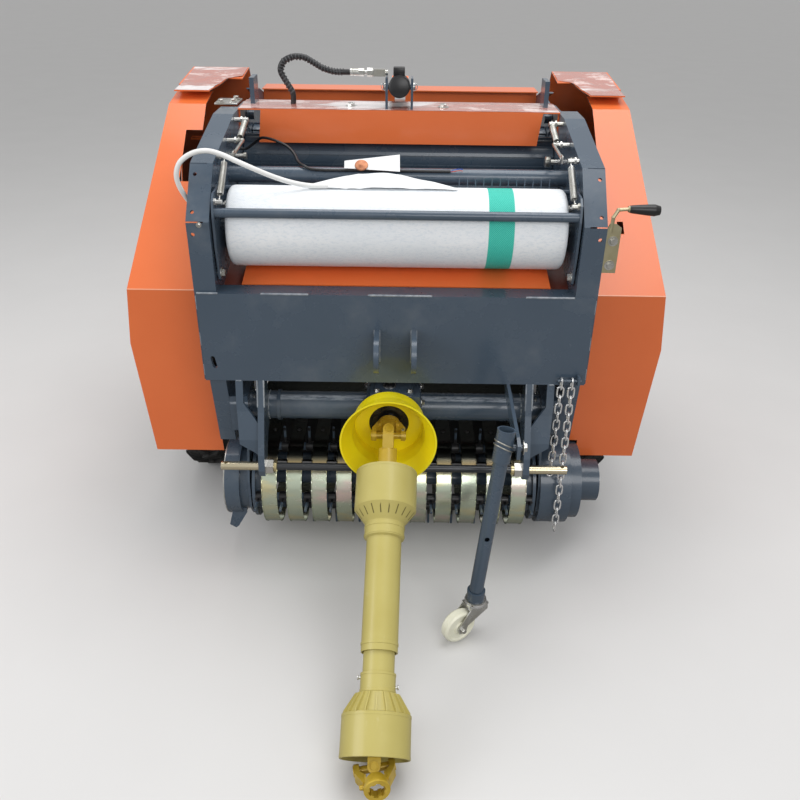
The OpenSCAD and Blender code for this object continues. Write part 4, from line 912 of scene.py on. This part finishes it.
for x, m, radius in ((-453, -1, 38), (560, 1, 30), (471, 1, 88)):
    for k in range(6 if radius > 40 else 4):
        a = math.radians(30 + k * (60 if radius > 40 else 90))
        hexagon(shape, at(x, REEL_Y + radius * math.cos(a), REEL_Z + radius * math.sin(a)), (m, 0, 0), 10, 5)
lathe(shape, [(92, 0), (104, 0), (104, 3), (92, 3)], at(-453, REEL_Y, REEL_Z), (-1, 0, 0), 48)
lathe(shape, [(48, 0), (57, 0), (57, 3), (48, 3)], at(557.5, REEL_Y, REEL_Z), (1, 0, 0), 40)
solid("drum_bolts", shape, zinc, "frame")


# Road wheels: black rubber with a lugged tread, ribs on the wall, blue pressed rims with five bolts, a
# valve and a grease cap.
HUB = at(0, 550, 207.5)


def rubber_look(w):
    y, z = w.axis("Y") - HUB.y, w.axis("Z") - HUB.z
    radius = w.make("ShaderNodeMath", {"operation": "SQRT"}, {0: y * y + z * z})
    ribs = w.make("ShaderNodeMath", {"operation": "SINE"},
                  {0: radius * 1300.0}) * (1.0 - radius.band(0.166, 0.172))
    angle = w.make("ShaderNodeMath", {"operation": "ARCTAN2"}, {0: z, 1: y})
    across = w.make("ShaderNodeMath", {"operation": "ABSOLUTE"}, {0: w.axis("X")}) - 0.59
    off = w.make("ShaderNodeMath", {"operation": "ABSOLUTE"}, {0: across})
    slant = w.make("ShaderNodeMath", {"operation": "SINE"}, {0: angle * 44.0 + off * 95.0}).band(0.45, 0.8)
    lines = off.band(0.0125, 0.014) - off.band(0.0175, 0.019)
    # The tread's grooves are painted near-black as well as sunk: a painted shade in them.
    groove = w.maths("MAXIMUM", slant, lines) * radius.band(0.183, 0.187)
    dust_and_glint = w.noise(30.0, 5.0)
    wear_and_highlight = w.mix(dust_and_glint.band(0.4, 0.75) * 0.5, (0.016, 0.016, 0.016), (0.055, 0.052, 0.047))
    height = ribs * 0.5 + w.noise(240.0, 2.0) - groove * 5.0
    return {"Base Color": w.mix(groove * 0.9, wear_and_highlight, (0.003, 0.003, 0.003)), "Roughness": dust_and_glint * 0.15 + 0.66,
            "Normal": height.bump(0.5, 0.0012)}


dress("tyre_left tyre_right", finish_of("tyre_rubber", {}, rubber_look))
for name, m in (("left", -1), ("right", 1)):
    shape = bmesh.new()
    for k in range(5):
        a = math.radians(90 + 72 * k)
        hexagon(shape, HUB + Vector((m * 592, 50 * math.cos(a), 50 * math.sin(a))) / 1000, (m, 0, 0), 17, 9)
    lathe(shape, [(0, 6), (16, 6), (22, 4), (24, 0), (24, -3)], HUB + Vector((m * 0.641, 0, 0)), (m, 0, 0),
          28)
    lathe(shape, [(0, 0), (4, 0), (4, 14), (3, 26), (0, 27)], HUB + Vector((m * 0.594, 0, 0.084)),
          (m, 0, 0.3), 12)
    solid("wheel_hardware_" + name, shape, zinc, "wheel_" + name)

# Castor stand: blue tube in a sleeve wound with wire, and a pressed zinc castor with a nylon wheel.
dress("castor_fork", zinc)
dress("castor_wheel", cloudy("nylon", (0.86, 0.85, 0.68), (0.94, 0.93, 0.78), 0.38, 30.0, {}))
TOP, FOOT = at(252, -165, 553), at(204, -231, 136)
down = (FOOT - TOP).normalized()
turns = []
for low in (0.034, 0.044):
    centre = TOP + down * low
    u = down.cross(Vector((0, 1, 0))).normalized()
    v = down.cross(u)
    turns.append([centre + 0.0225 * (math.cos(a) * u + math.sin(a) * v) + down * 0.009 * math.cos(a + 0.6)
                  for a in [k * math.pi / 8 for k in range(16)]])
tube("stand_wire", turns, 3.2, zinc, "stand", closed=True, fine=3, round_steps=2)
shape = bmesh.new()
hexagon(shape, at(291, -172, 510), (1, 0, 0), 19, 8)
solid("stand_nut", shape, zinc, "stand")
chrome = cloudy("castor_chrome", (0.74, 0.75, 0.76), (0.84, 0.84, 0.85), 0.12, 30.0, {"Metallic": 1.0})
shape = bmesh.new()
lathe(shape, [(20, 99), (26.6, 99), (27.2, 101), (27.2, 105), (25, 109), (20, 109)], at(204, -231, 0),
      (0, 0, 1), 36)
solid("castor_race", shape, chrome, "castor_fork")
back = Vector((-0.85, -0.527, 0)).normalized()
side = Vector((-back.y, back.x, 0))
hub = at(204, -231, 44) + back * 0.048
shape = bmesh.new()
for m in (-1, 1):
    hexagon(shape, hub + side * m * 0.0195, side * m, 13, 7)
solid("castor_axle_nuts", shape, zinc, "castor_fork")

# Safety chain: galvanised welded links, two strands hung on a pin at the beam, the longer one lying
# against the pickup's drum.
links = []
bright = cloudy("bright_zinc", (0.78, 0.79, 0.8), (0.9, 0.9, 0.9), 0.2, 60.0, {"Metallic": 0.8})


def chain_link(centre, lean, edge_on):
    place = Matrix.Translation(centre) @ Matrix.Rotation(math.radians(lean), 4, "X")
    if edge_on:
        place = place @ Matrix.Rotation(math.pi / 2, 4, "Z")
    loop = []
    for top in (1, -1):
        for k in range(5):
            a = math.radians(180 * k / 4 + (0 if top > 0 else 180))
            loop.append(place @ (Vector((7.5 * math.cos(a), 0, 7.5 * math.sin(a) + top * 7.5)) / 1000))
    return loop


STEP = 23.7
for x, count, lean in ((408, 12, 0), (434, 19, -3.28)):
    for k in range(count):
        s = 7.7 + min(k, 15) * STEP
        y = 42 + s * math.sin(math.radians(lean))
        z = 566 - s * math.cos(math.radians(lean)) - max(k - 15, 0) * STEP
        links.append(chain_link(at(x, y, z), lean if k <= 15 else 0, k % 2 == 0))
chain = tube("chain_links", links, 4.9, bright, "frame", closed=True, fine=3, round_steps=2)
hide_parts("safety_chain")
shape = bmesh.new()
block(shape, (446, 32, 553), (452, 56, 579), 1)
rod(shape, at(398, 42, 566), at(456, 42, 566), 8)
solid("chain_pin", shape, blue, "frame")
